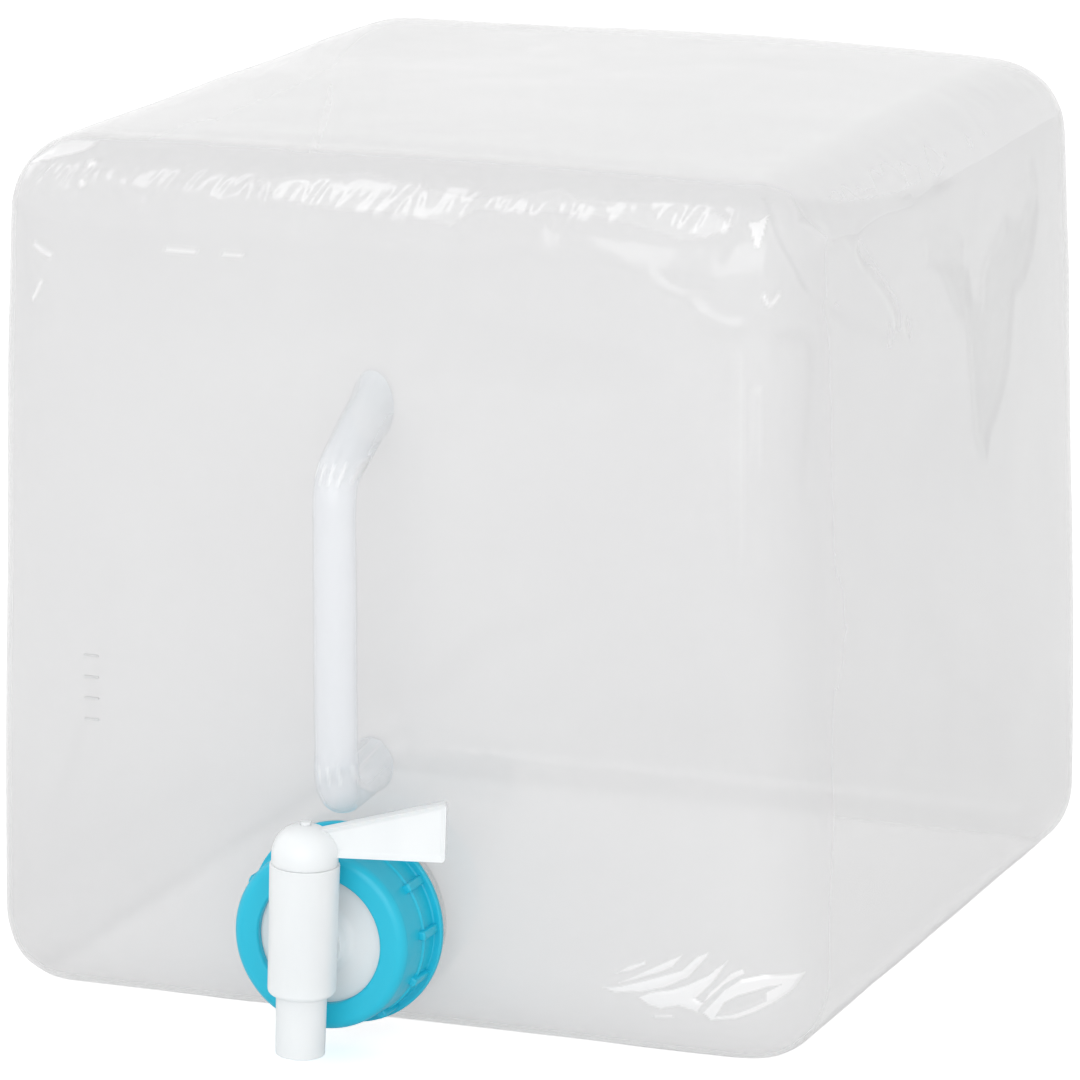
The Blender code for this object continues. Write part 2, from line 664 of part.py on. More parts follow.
def wing_plate(inset, near, far):
    """Wing outline given a thickness, from one distance along local Y to another."""
    shape = bmesh.new()
    corners = [shape.verts.new((reach, near, KNOB_BASE + rise)) for reach, rise in wing_outline(inset)]
    face = shape.faces.new(corners)
    walls = bmesh.ops.extrude_face_region(shape, geom=[face])["geom"]
    for vert in (item for item in walls if isinstance(item, bmesh.types.BMVert)):
        vert.co.y = far
    bmesh.ops.recalc_face_normals(shape, faces=shape.faces)
    return shape


def rounded_wing():
    """Wing with its two outer corners rounded in side view."""
    plate = wing_plate(0, -WING_THICKNESS / 2, WING_THICKNESS / 2)
    end = WING_LENGTH - WELD_DISTANCE
    outer = [edge for edge in plate.edges if min(vert.co.x for vert in edge.verts) > end]
    across = [edge for edge in outer if abs(edge.verts[0].co.y - edge.verts[1].co.y) > WING_THICKNESS / 2]
    rounded(plate, across, WING_CORNER_RADIUS, WING_CORNER_SEGMENTS)
    return plate


def make_lever(frame):
    """Domed knob with a rimmed wing, and the square socket that fits the plug's stem."""
    turn = {"parent": frame, "rotation": (0, 0, LEVER_REST_ANGLE)}
    top = KNOB_BASE + KNOB_HEIGHT
    waist = top - KNOB_DOME_HEIGHT
    outline = [(0, KNOB_BASE), (KNOB_RADIUS - KNOB_SKIRT_EDGE, KNOB_BASE)]
    outline += [(KNOB_RADIUS, KNOB_BASE + KNOB_SKIRT_EDGE)]
    for step in range(BEND_STEPS):
        angle = math.pi / 2 * step / BEND_STEPS
        outline += [(KNOB_RADIUS * math.cos(angle), waist + KNOB_DOME_HEIGHT * math.sin(angle))]
    lever = piece("tap_lever", "white", turned(outline + [(0, top)]), **turn)
    join(lever, tool("lever_wing", rounded_wing(), **turn))
    side = WING_WEB_THICKNESS / 2
    past = WING_THICKNESS / 2 + CUT_OVERRUN
    socket_top = BARREL_RISE - PLUG_TOP_SETBACK + STEM_HEIGHT + JOINT_GAP
    socket = square_bar(STEM_WIDTH + 2 * SOCKET_CLEARANCE, KNOB_BASE - CUT_OVERRUN, socket_top)
    pip_hole = rod(STEM_PIP_RADIUS + SOCKET_CLEARANCE, KNOB_BASE, top + CUT_OVERRUN)
    cut(
        lever,
        tool("lever_recess_near", wing_plate(WING_RIM_WIDTH, -past, -side), **turn),
        tool("lever_recess_far", wing_plate(WING_RIM_WIDTH, side, past), **turn),
        tool("lever_socket", socket, **turn),
        tool("lever_pip_hole", pip_hole, **turn),
    )


def build():
    clear_scene()
    neck_axis = frame_empty("neck_axis", (NECK_X, 0, NECK_Z), (math.pi / 2, 0, 0))
    barrel_axis = frame_empty("barrel_axis", (NECK_X, -BARREL_REACH, NECK_Z), (0, TAP_LEAN, 0))
    bag_space = tool("bag_space", bag_form(JOINT_GAP))
    front_panel = make_bag()
    make_neck_opening(neck_axis, front_panel)
    thread_start = make_neck(neck_axis, bag_space)
    make_handle(front_panel, bag_space)
    make_ring(neck_axis, thread_start)
    make_gasket(neck_axis)
    make_tap_body(barrel_axis)
    make_plug(barrel_axis)
    make_lever(barrel_axis)


build()
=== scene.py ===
"""Collapsible water carrier, dressed: the creased clear bag with its hollow handle and threaded neck, the
teal screw ring and the white lever tap, in plain studio light.

Metres, +Z up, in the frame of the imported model.
"""

from __future__ import annotations

import logging
import math
import random
from dataclasses import dataclass, field
from enum import Enum

import bmesh
import bpy
import numpy as np
from mathutils import Matrix, Vector, noise
from mathutils.bvhtree import BVHTree


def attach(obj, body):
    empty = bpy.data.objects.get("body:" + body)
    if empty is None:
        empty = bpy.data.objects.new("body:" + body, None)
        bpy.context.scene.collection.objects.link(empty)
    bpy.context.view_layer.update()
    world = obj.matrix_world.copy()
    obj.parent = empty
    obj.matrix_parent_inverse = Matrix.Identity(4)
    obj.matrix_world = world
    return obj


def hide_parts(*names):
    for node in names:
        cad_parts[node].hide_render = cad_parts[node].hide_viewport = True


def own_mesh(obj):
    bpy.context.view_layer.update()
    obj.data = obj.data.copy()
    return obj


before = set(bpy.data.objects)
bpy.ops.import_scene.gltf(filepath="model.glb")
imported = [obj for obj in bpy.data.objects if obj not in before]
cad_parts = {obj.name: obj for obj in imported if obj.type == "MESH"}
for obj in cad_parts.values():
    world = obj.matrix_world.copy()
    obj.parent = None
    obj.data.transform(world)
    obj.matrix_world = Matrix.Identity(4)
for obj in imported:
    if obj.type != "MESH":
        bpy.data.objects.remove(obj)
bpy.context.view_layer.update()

LOG = logging.getLogger("water_carrier")
MM = 0.001
WELD = 1e-6
PLASTIC_IOR = 1.5
# Attribute that holds painted shade (above 0.5) and painted highlight (below 0.5) on the film.
PAINTED_SHADE_LIGHT = "painted_shade_light"
FILM_COVER = "film_cover"
# Share of what lies behind that film under a full painted highlight hides.
PAINTED_HIGHLIGHT_COVER = 0.95
Z_TO_FRONT = Matrix.Rotation(math.pi / 2, 4, "X")

Pair = tuple[float, float]
Triple = tuple[float, float, float]
Box = tuple[Triple, Triple]


class Face(Enum):
    """Side of the bag that a crease is placed on, with the axis that it looks along and the way it faces."""

    FRONT = (1, -1)
    REAR = (1, 1)
    LEFT = (0, -1)
    RIGHT = (0, 1)
    TOP = (2, 1)
    BASE = (2, -1)


class Profile(Enum):
    """Shape of a crease across its run."""

    RIDGE = "ridge"
    VALLEY = "valley"


# Meshes


def clamped(value: float) -> float:
    """Keeps a value between 0 and 1."""
    return min(1.0, max(0.0, value))


def eased(share: float | np.ndarray) -> float | np.ndarray:
    """Turns an even rise from 0 to 1 into one with soft ends."""
    return share * share * (3 - 2 * share)


def finished(name: str, shape: bmesh.types.BMesh, sharp_angle: float = math.radians(35)) -> bpy.types.Object:
    """Turns a bmesh into a smooth-shaded object and frees it.

    Args:
        name: The piece's name.
        shape: The bmesh, which is used up.
        sharp_angle: Edges that turn more than this stay sharp.

    Returns:
        The new object, at the origin.
    """
    mesh = bpy.data.meshes.new(name)
    shape.to_mesh(mesh)
    shape.free()
    mesh.shade_smooth()
    mesh.set_sharp_from_angle(angle=sharp_angle)
    made = bpy.data.objects.new(name, mesh)
    bpy.context.scene.collection.objects.link(made)
    return made


def turned(outline: list[Pair], steps: int) -> bmesh.types.BMesh:
    """Spins a closed outline about local Z.

    Args:
        outline: Points as (radius, height). A stretch on the axis makes no wall.
        steps: Faces round the axis.

    Returns:
        The closed body.
    """
    shape = bmesh.new()
    points = [shape.verts.new((radius, 0, height)) for radius, height in outline]
    for near, far in zip(points, points[1:] + points[:1]):
        if near.co.x > 0 or far.co.x > 0:
            shape.edges.new((near, far))
    turn = {"cent": (0, 0, 0), "axis": (0, 0, 1), "angle": math.tau, "steps": steps}
    bmesh.ops.spin(shape, geom=shape.verts[:] + shape.edges[:], use_merge=True, **turn)
    bmesh.ops.remove_doubles(shape, verts=shape.verts, dist=WELD)
    bmesh.ops.recalc_face_normals(shape, faces=shape.faces)
    return shape


def arc(centre: Pair, radius: float, start: float, end: float, steps: int) -> list[Pair]:
    """Gives points on a circle from one angle to another, both ends included.

    Args:
        centre: The circle's middle.
        radius: Its radius.
        start: First angle, in degrees.
        end: Last angle, in degrees.
        steps: Stretches between the two.

    Returns:
        The points, in order.
    """
    angles = [math.radians(start + (end - start) * step / steps) for step in range(steps + 1)]
    return [(centre[0] + radius * math.cos(a), centre[1] + radius * math.sin(a)) for a in angles]


def swept(stations: list[Matrix], sides: int, closed_ends: bool = True) -> bmesh.types.BMesh:
    """Bridges a row of unit circles into one tube.

    Args:
        stations: Place, turn and size of each circle.
        sides: Points round each circle.
        closed_ends: Whether the first and last circles are filled.

    Returns:
        The tube.
    """
    shape = bmesh.new()
    before: list[bmesh.types.BMEdge] = []
    last = len(stations) - 1
    for index, station in enumerate(stations):
        capped = closed_ends and index in (0, last)
        circle = bmesh.ops.create_circle(shape, cap_ends=capped, radius=1, segments=sides, matrix=station)
        ring = set(circle["verts"])
        edges = [edge for edge in {e for v in ring for e in v.link_edges} if set(edge.verts) <= ring]
        if before:
            bmesh.ops.bridge_loops(shape, edges=before + edges)
        before = edges
    bmesh.ops.recalc_face_normals(shape, faces=shape.faces)
    return shape


def combined(base: bpy.types.Object, *others: bpy.types.Object, operation: str = "UNION") -> bpy.types.Object:
    """Adds or cuts other bodies and applies the result.

    Args:
        base: The body that stays.
        others: The bodies that are used up.
        operation: UNION or DIFFERENCE.

    Returns:
        The base, with its new mesh.
    """
    for other in others:
        step = base.modifiers.new(other.name, "BOOLEAN")
        step.operation = operation
        step.solver = "MANIFOLD"
        step.object = other
    bpy.context.view_layer.update()
    graph = bpy.context.evaluated_depsgraph_get()
    result = bpy.data.meshes.new_from_object(base.evaluated_get(graph))
    base.modifiers.clear()
    old = base.data
    base.data = result
    result.name = base.name
    bpy.data.meshes.remove(old)
    for other in others:
        bpy.data.objects.remove(other, do_unlink=True)
    return base


def placed(piece: bpy.types.Object, place: Matrix) -> bpy.types.Object:
    """Puts a place and turn into a piece's mesh, which leaves its object at the origin.

    Args:
        piece: The piece.
        place: The place and turn.

    Returns:
        The same piece.
    """
    piece.data.transform(place)
    piece.data.update()
    return piece


def rounded(shape: bmesh.types.BMesh, width: float, segments: int, edges: list | None = None) -> None:
    """Rounds edges of a bmesh, all of them unless some are given.

    Args:
        shape: The bmesh.
        width: Width of the rounding, in metres.
        segments: Faces across it.
        edges: The edges, or None for all.
    """
    chosen = shape.edges[:] if edges is None else edges
    bmesh.ops.bevel(
        shape, geom=chosen, offset=width, segments=segments, profile=0.5, affect="EDGES", material=-1
    )


def dressed(piece: bpy.types.Object, material: bpy.types.Material) -> bpy.types.Object:
    """Gives a piece its one material, and smooth shading with sharp edges at turns of 38 degrees or more.

    Args:
        piece: The piece.
        material: The material.

    Returns:
        The same piece.
    """
    piece.data.materials.clear()
    piece.data.materials.append(material)
    piece.data.shade_smooth()
    piece.data.set_sharp_from_angle(angle=math.radians(38))
    return piece


def evened(piece: bpy.types.Object) -> bpy.types.Object:
    """Weights a piece's normals by the size of its faces, so that wide faces look even up to their edges.

    Args:
        piece: The piece.

    Returns:
        The same piece.
    """
    step = piece.modifiers.new("even_shading", "WEIGHTED_NORMAL")
    step.keep_sharp = True
    return combined(piece)


# Finishes


class NodeSheet:
    """Node tree of one material, with short ways to add nodes that read Object coordinates."""

    noise_middle: Pair = (0.3, 0.7)

    def __init__(self, name: str) -> None:
        """Starts a material whose Principled shader waits for its sockets.

        Args:
            name: The material's name.
        """
        self.material = bpy.data.materials.new(name)
        self.material.use_nodes = True
        self.tree = self.material.node_tree
        self.shader = self.tree.nodes["Principled BSDF"]
        self.coordinates = self.tree.nodes.new("ShaderNodeTexCoord").outputs["Object"]

    def set(self, **values: object) -> None:
        """Sets shader sockets by name, with underscores for blanks."""
        for name, value in values.items():
            self.shader.inputs[name.replace("_", " ")].default_value = value

    def noise(self, scale: float, detail: float = 2.0, stretch: Triple = (1, 1, 1)) -> object:
        """Gives the value of a noise pattern.

        Args:
            scale: Cells in one metre.
            detail: Octaves.
            stretch: Scale along each axis.

        Returns:
            The noise's output socket.
        """
        mapping = self.tree.nodes.new("ShaderNodeMapping")
        mapping.inputs["Scale"].default_value = stretch
        self.tree.links.new(self.coordinates, mapping.inputs["Vector"])
        pattern = self.tree.nodes.new("ShaderNodeTexNoise")
        pattern.inputs["Scale"].default_value = scale
        pattern.inputs["Detail"].default_value = detail
        self.tree.links.new(mapping.outputs["Vector"], pattern.inputs["Vector"])
        return pattern.outputs["Fac"]

    def ranged(self, value: object, low: float, high: float) -> object:
        """Maps the middle stretch of a noise onto a range.

        Args:
            value: The noise's socket.
            low: The range's low end.
            high: Its high end.

        Returns:
            The value's socket.
        """
        node = self.tree.nodes.new("ShaderNodeMapRange")
        node.inputs["From Min"].default_value = self.noise_middle[0]
        node.inputs["From Max"].default_value = self.noise_middle[1]
        node.inputs["To Min"].default_value = low
        node.inputs["To Max"].default_value = high
        self.tree.links.new(value, node.inputs["Value"])
        return node.outputs["Result"]

    def ramp(self, value: object, stops: list[tuple[float, Triple]]) -> object:
        """Maps a value onto colours.

        Args:
            value: The socket that drives the ramp.
            stops: Pairs of position and colour.

        Returns:
            The colour socket.
        """
        node = self.tree.nodes.new("ShaderNodeValToRGB")
        points = node.color_ramp.elements
        while len(points) < len(stops):
            points.new(0.5)
        for point, (position, colour) in zip(points, stops):
            point.position = position
            point.color = (*colour, 1.0)
        self.tree.links.new(value, node.inputs["Fac"])
        return node.outputs["Color"]

    def stored(self, attribute: str, start: float, end: float) -> object:
        """Maps a stretch of a stored attribute onto 0 to 1.

        Args:
            attribute: Name of the mesh's attribute.
            start: Value of the attribute that gives 0.
            end: Value that gives 1.

        Returns:
            The value's socket.
        """
        source = self.tree.nodes.new("ShaderNodeAttribute")
        source.attribute_name = attribute
        share = self.tree.nodes.new("ShaderNodeMapRange")
        share.inputs["From Min"].default_value = start
        share.inputs["From Max"].default_value = end
        self.tree.links.new(source.outputs["Fac"], share.inputs["Value"])
        return share.outputs["Result"]

    def painted_light_mix(self, plain: object, dark: Triple, pale: Triple) -> object:
        """Shifts a colour by the stored painted shade and painted highlight, 0.5 for none, towards a dark or
        a pale one.

        Args:
            plain: The colour away from painted shade and painted highlight.
            dark: Colour at 1.
            pale: Colour at 0.

        Returns:
            The colour socket.
        """
        colour = plain
        for end, target in ((1.0, dark), (0.0, pale)):
            mix = self.tree.nodes.new("ShaderNodeMix")
            mix.data_type = "RGBA"
            socket_b = next(i for i in mix.inputs if i.identifier == "B_Color")
            socket_b.default_value = (*target, 1.0)
            socket_a = next(i for i in mix.inputs if i.identifier == "A_Color")
            self.tree.links.new(self.stored(PAINTED_SHADE_LIGHT, 0.5, end), mix.inputs["Factor"])
            self.tree.links.new(colour, socket_a)
            colour = next(o for o in mix.outputs if o.identifier == "Result_Color")
        return colour

    def join(self, socket: object, name: str) -> None:
        """Links a socket to a named socket of the shader."""
        self.tree.links.new(socket, self.shader.inputs[name])

    def bump(self, height: object, strength: float, distance: float, after: object = None) -> object:
        """Makes a surface relief.

        Args:
            height: The socket that gives the relief.
            strength: Share of the relief that shows.
            distance: Its height in metres.
            after: The normal of a relief that this one is added to.

        Returns:
            The new normal.
        """
        node = self.tree.nodes.new("ShaderNodeBump")
        node.inputs["Strength"].default_value = strength
        node.inputs["Distance"].default_value = distance
        self.tree.links.new(height, node.inputs["Height"])
        if after is not None:
            self.tree.links.new(after, node.inputs["Normal"])
        return node.outputs["Normal"]


@dataclass(frozen=True)
class FilmFinish:
    """Thin clear polyethylene: a faint milkiness with a gloss that creases catch.

    Attributes:
        name: The material's name.
        clear: Colour where the film is thin.
        milky: Colour where it is thicker.
        cover: Share of what lies behind that the film hides.
        roughness: Lowest roughness.
        relief: Height of the fine waviness, in metres.
        folds: Whether the piece stores painted shade and painted highlight along its folds.
        fold: Colour of the painted shade; on the handle, also the painted teal reflection of the ring.
        painted_highlight: Colour of the painted highlight on creases and wrinkles.
        gloss: Roughness of the clear coat.
        cloud_cells: Cells of the milkiness in one metre.
        smear_cells: Cells of the change in roughness in one metre.
        smear: How much rougher they get.
        wave_cells: Cells of the fine waviness in one metre.
        wave_strength: Share of the waviness that shows.
        grain_cells: Cells of the finest relief in one metre.
        grain_strength: Share of that relief that shows.
        grain_part: How many times lower than the waviness it is.
    """

    name: str
    clear: Triple
    milky: Triple
    cover: float
    roughness: float
    relief: float
    folds: bool = False
    fold: Triple = (0.38, 0.38, 0.385)
    painted_highlight: Triple = (0.85, 0.85, 0.855)
    gloss: float = 0.04
    cloud_cells: float = 9.0
    smear_cells: float = 70.0
    smear: float = 0.10
    wave_cells: float = 34.0
    wave_strength: float = 0.5
    grain_cells: float = 420.0
    grain_strength: float = 0.05
    grain_part: float = 12.0

    def material(self) -> bpy.types.Material:
        """Builds the material.

        Returns:
            The new material.
        """
        sheet = NodeSheet(self.name)
        sheet.set(Metallic=0.0, IOR=PLASTIC_IOR, Alpha=self.cover)
        sheet.set(Specular_IOR_Level=0.6, Coat_Weight=1.0, Coat_Roughness=self.gloss, Coat_IOR=PLASTIC_IOR)
        plain = sheet.ramp(sheet.noise(self.cloud_cells, 3.0), [(0.35, self.clear), (0.7, self.milky)])
        if self.folds:
            # Painted shade and painted highlight shift the film's colour; film under a painted highlight
            # hides more of what lies behind.
            plain = sheet.painted_light_mix(plain, self.fold, self.painted_highlight)
            sheet.join(sheet.stored(FILM_COVER, 0.0, 1.0), "Alpha")
        sheet.join(plain, "Base Color")
        smears = sheet.noise(self.smear_cells, 4.0)
        sheet.join(sheet.ranged(smears, self.roughness, self.roughness + self.smear), "Roughness")
        wave = sheet.bump(sheet.noise(self.wave_cells, 3.0), self.wave_strength, self.relief)
        finest = sheet.noise(self.grain_cells, 2.0)
        sheet.join(sheet.bump(finest, self.grain_strength, self.relief / self.grain_part, wave), "Normal")
        sheet.tree.links.new(wave, sheet.shader.inputs["Coat Normal"])
        return sheet.material


@dataclass(frozen=True)
class MouldedFinish:
    """Injection-moulded plastic: an even colour with a fine grain, faint flow marks and a soft sheen.

    Attributes:
        name: The material's name.
        deep: Colour in the grain's hollows.
        bright: Colour on its tops.
        roughness: Lowest roughness.
        grain: Height of the grain, in metres.
        glow: Share of light that passes below the surface.
        depth: How deep that light goes, in metres.
        flow_cells: Cells of the flow marks in one metre.
        flow_stretch: Their scale along each axis.
        smear_cells: Cells of the change in roughness in one metre.
        smear: How much rougher they get.
        wave_cells: Cells of the soft unevenness in one metre.
        wave_part: How many times higher than the grain it is.
        grain_cells: Cells of the grain in one metre.
    """

    name: str
    deep: Triple
    bright: Triple
    roughness: float
    grain: float
    glow: float = 0.0
    depth: float = 0.004
    flow_cells: float = 60.0
    flow_stretch: Triple = (1.0, 1.0, 0.35)
    smear_cells: float = 240.0
    smear: float = 0.12
    wave_cells: float = 90.0
    wave_part: float = 4.0
    grain_cells: float = 1400.0

    def material(self) -> bpy.types.Material:
        """Builds the material.

        Returns:
            The new material.
        """
        sheet = NodeSheet(self.name)
        sheet.set(Metallic=0.0, IOR=PLASTIC_IOR, Specular_IOR_Level=0.5)
        if self.glow:
            even = (1.0, 1.0, 1.0)
            sheet.set(Subsurface_Weight=self.glow, Subsurface_Scale=self.depth, Subsurface_Radius=even)
        flow = sheet.noise(self.flow_cells, 4.0, self.flow_stretch)
        sheet.join(sheet.ramp(flow, [(0.3, self.deep), (0.7, self.bright)]), "Base Color")
        smears = sheet.noise(self.smear_cells, 3.0)
        sheet.join(sheet.ranged(smears, self.roughness, self.roughness + self.smear), "Roughness")
        soft = sheet.bump(sheet.noise(self.wave_cells, 2.0), 0.3, self.grain * self.wave_part)
        sheet.join(sheet.bump(sheet.noise(self.grain_cells, 2.0), 0.35, self.grain, soft), "Normal")
        return sheet.material


# The bag's film uses the default colours of painted shade and painted highlight.
BAG_FILM = FilmFinish("bag_film", (0.565, 0.561, 0.569), (0.595, 0.595, 0.60), 0.52, 0.08, 0.00030, True)
NECK_FILM = FilmFinish("neck_film", (0.68, 0.685, 0.69), (0.70, 0.705, 0.71), 0.16, 0.20, 0.0001)
# The ticks are paler than the bag's film: painted highlight on the small ribs.
TICK_FILM = FilmFinish("tick_film", (0.74, 0.745, 0.75), (0.77, 0.775, 0.78), 0.45, 0.20, 0.0001)
# The handle's teal fold colour is the painted reflection of the teal ring under its lower bend, and its
# painted shade on the legs.
HANDLE_PLASTIC = FilmFinish(
    "handle_plastic", (0.83, 0.86, 0.90), (0.86, 0.885, 0.925), 0.36, 0.16, 0.00010, True, (0.50, 0.74, 0.82)
)
TEAL = MouldedFinish("teal_plastic", (0.007, 0.48, 0.67), (0.012, 0.52, 0.71), 0.30, 0.00002)
WHITE = MouldedFinish("white_plastic", (0.80, 0.83, 0.845), (0.84, 0.865, 0.875), 0.30, 0.00002, 0.25)
RUBBER = MouldedFinish("seal_rubber", (0.030, 0.030, 0.032), (0.050, 0.050, 0.052), 0.65, 0.00004)


# Bag


def store_film(mesh: bpy.types.Mesh, darker: np.ndarray, cover: np.ndarray) -> None:
    """Stores a film's painted shade and painted highlight and how much it hides; film under a full painted
    highlight hides almost all.

    Args:
        mesh: The film's mesh.
        darker: Painted shade of each vertex, from -1 to 1; below 0 it is painted highlight.
        cover: Share of what lies behind that each vertex hides.
    """
    shade = 0.5 + 0.5 * np.clip(darker, -1, 1)
    hidden = cover + (PAINTED_HIGHLIGHT_COVER - cover) * np.clip(-darker, 0, 1)
    for name, values in ((PAINTED_SHADE_LIGHT, shade), (FILM_COVER, hidden)):
        mesh.attributes.new(name, "FLOAT", "POINT").data.foreach_set("value", values)


@dataclass(frozen=True)
class Crease:
    """A fold line in the film, on a smooth curve through a few points.

    Attributes:
        points: Places on the filled bag, in millimetres.
        width: Half width across the line, in millimetres.
        depth: How far it moves the film, in millimetres.
        profile: Shape across the line.
        ends: Shares of the line's run over which it rises and fades.
        shade: Painted shade along the line; below 0, painted highlight.
    """

    points: tuple[Triple, ...]
    width: float
    depth: float
    profile: Profile = Profile.VALLEY
    ends: Pair = (0.25, 0.35)
    shade: float = 0.0


@dataclass(frozen=True)
class Dent:
    """A shallow hollow with an oval edge.

    Attributes:
        centre: Its middle, in millimetres.
        reach: Half sizes along the three axes, in millimetres.
        depth: How far the film sinks, in millimetres. A swell has a negative depth.
        shade: Painted shade at its middle; below 0, painted highlight.
    """

    centre: Triple
    reach: Triple
    depth: float
    shade: float = 0.0


@dataclass(frozen=True)
class Facet:
    """A flat, tilted patch with straight edges, which carries painted shade, or painted highlight where its
    shade is below 0.

    Attributes:
        face: Side of the bag that it lies on.
        outline: Its corners along the face's other two axes, in millimetres.
        depth: How far its middle sinks, in millimetres.
        shade: Painted shade over it; below 0, painted highlight.
        soft: Width of its fading edge, in millimetres.
        tilt: Slope along the face's other two axes.
    """

    face: Face
    outline: tuple[Pair, ...]
    depth: float
    shade: float
    soft: float
    tilt: Pair = (0.0, 0.0)


@dataclass(frozen=True)
class Gather:
    """Fine pleats that cross one edge of the bag.

    Attributes:
        run: Axis that the edge runs along.
        sides: Signs of the edge on the next two axes.
        span: Where the pleats start and end, in millimetres from the edge's middle.
        pitch: Least and greatest distance between pleats, in millimetres.
        depth: Least and greatest depth, in millimetres.
        width: Least and greatest half width, in millimetres.
        reach: Least and greatest length to each side, in millimetres.
        lean: Least and greatest slant.
        shift: Where the pleats' middles lie, in millimetres from the edge on its first side.
        strength: Pairs of a place on the edge and a share of the depth there.
    """

    run: int
    sides: tuple[int, int]
    span: Pair
    pitch: Pair = (5.0, 13.0)
    depth: Pair = (0.15, 0.75)
    width: Pair = (1.8, 3.6)
    reach: Pair = (9.0, 26.0)
    lean: Pair = (-0.3, 0.3)
    shift: Pair = (-5.0, 5.0)
    strength: tuple[Pair, ...] = ((0.0, 1.0),)


@dataclass
class BagSkin:
    """The bag's film as one wrinkled skin, with an opening into the neck.

    Sizes are in metres, and fields named cells count a noise's cells in one metre. A row of corner_slack is
    a rear corner's side, how far it is drawn in, how far it drops and the power by which both fade. The
    boxes, in millimetres round the middle of the sharp box, say where the mesh is made finer.
    """

    width: float = 0.277
    depth: float = 0.295
    height: float = 0.280
    edge_radius: float = 0.0259
    edge_power: float = 2.3
    taper_share: float = 0.019
    side_bulge: float = 0.005
    top_bulge: float = 0.004
    pitch: float = 0.0042
    edge_band: float = 0.028
    rear_band: float = 0.019
    pleat_limit: float = 0.07
    pleat_margin: float = 0.012
    pleat_spread: float = 0.03
    pleat_fade: float = 2.4
    pleat_power: float = 1.5
    reach_bias: float = 1.7
    depth_bias: float = 1.6
    slow_cells: float = 11.0
    slow_height: float = 0.0008
    quick_cells: float = 29.0
    quick_height: float = 0.00025
    quick_shift: Triple = (7.3, 1.1, 4.2)
    thin_end: float = 0.35
    valley_power: float = 1.3
    crease_steps: int = 24
    crease_reach: float = 6.0
    shade_width: float = 0.6
    patch_slope: float = 0.3
    patch_edge: float = 2.5
    top_shade: float = 0.2
    top_slope: float = 0.5
    top_fade: float = 0.4
    floor_slope: float = -0.9
    floor_band: float = 0.003
    floor_fade: float = 0.002
    floor_clear: float = 0.22
    seed: int = 11
    corner_slack: tuple[tuple[int, float, float, int], ...] = (
        (-1, 0.0105, 0.0023, 1),
        (1, 0.002, 0.006, 5),
    )
    openings: tuple[tuple[Pair, Pair], ...] = ()
    creases: tuple[Crease, ...] = ()
    dents: tuple[Dent, ...] = ()
    facets: tuple[Facet, ...] = ()
    gathers: tuple[Gather, ...] = ()
    fine_boxes: tuple[Box, ...] = ()
    finest_boxes: tuple[Box, ...] = ()
    medium_boxes: tuple[Box, ...] = ()

    def front_at(self, across: float, up: float) -> float:
        """Gives where the filled bag's front face lies.

        Args:
            across: Place along X, in metres.
            up: Height above the floor, in metres.

        Returns:
            The Y of the film there.
        """
        side, rise = 2 * across / self.width, 2 * up / self.height - 1
        bulged = self.depth / 2 + self.side_bulge * (1 - side**2) * (1 - rise**2)
        return -bulged * (1 - self.taper_share * rise)

    def grid_box(self) -> bmesh.types.BMesh:
        """Makes the sharp box from six grids, welded along its edges.

        Returns:
            The box, round the origin.
        """
        shape = bmesh.new()
        half = [self.width / 2, self.depth / 2, self.height / 2]
        counts = [round(2 * size / self.pitch) for size in half]
        for face in Face:
            axis, side = face.value
            first, second = (axis + 1) % 3, (axis + 2) % 3
            place = Matrix.Identity(4)
            place.col[0] = [half[first] if row == first else 0 for row in range(3)] + [0]
            place.col[1] = [half[second] if row == second else 0 for row in range(3)] + [0]
            place.col[2] = [side if row == axis else 0 for row in range(3)] + [0]
            place.col[3] = [side * half[axis] if row == axis else 0 for row in range(3)] + [1]
            segments = {"x_segments": counts[first], "y_segments": counts[second]}
            bmesh.ops.create_grid(shape, size=1, matrix=place, **segments)
        bmesh.ops.remove_doubles(shape, verts=shape.verts, dist=self.pitch / 8)
        bmesh.ops.recalc_face_normals(shape, faces=shape.faces)
        return shape

    def refine(self, shape: bmesh.types.BMesh) -> None:
        """Makes the mesh finer along the edges and, in up to three steps, where the film is crumpled.

        Args:
            shape: The sharp box.
        """
        half = Vector((self.width, self.depth, self.height)) / 2

        def boxed(point: Vector, boxes: tuple[Box, ...]) -> bool:
            """Says whether a point lies in one of the boxes."""
            return any(all(a * MM <= p <= b * MM for p, a, b in zip(point, low, high)) for low, high in boxes)

        def banded(point: Vector) -> bool:
            """Says whether a point lies near an edge of the box."""
            band = self.edge_band if point.y < 0 or point.z > 0 else self.rear_band
            return sum(size - abs(place) < band for size, place in zip(half, point)) >= 2

        deep = (*self.fine_boxes, *self.finest_boxes)
        for boxes, bands in (((*self.medium_boxes, *deep), True), (deep, False), (self.finest_boxes, False)):
            chosen = set()
            for face in shape.faces:
                middle = face.calc_center_median()
                if boxed(middle, boxes) or (bands and banded(middle)):
                    chosen.update(face.edges)
            bmesh.ops.subdivide_edges(shape, edges=list(chosen), cuts=1, use_grid_fill=True)

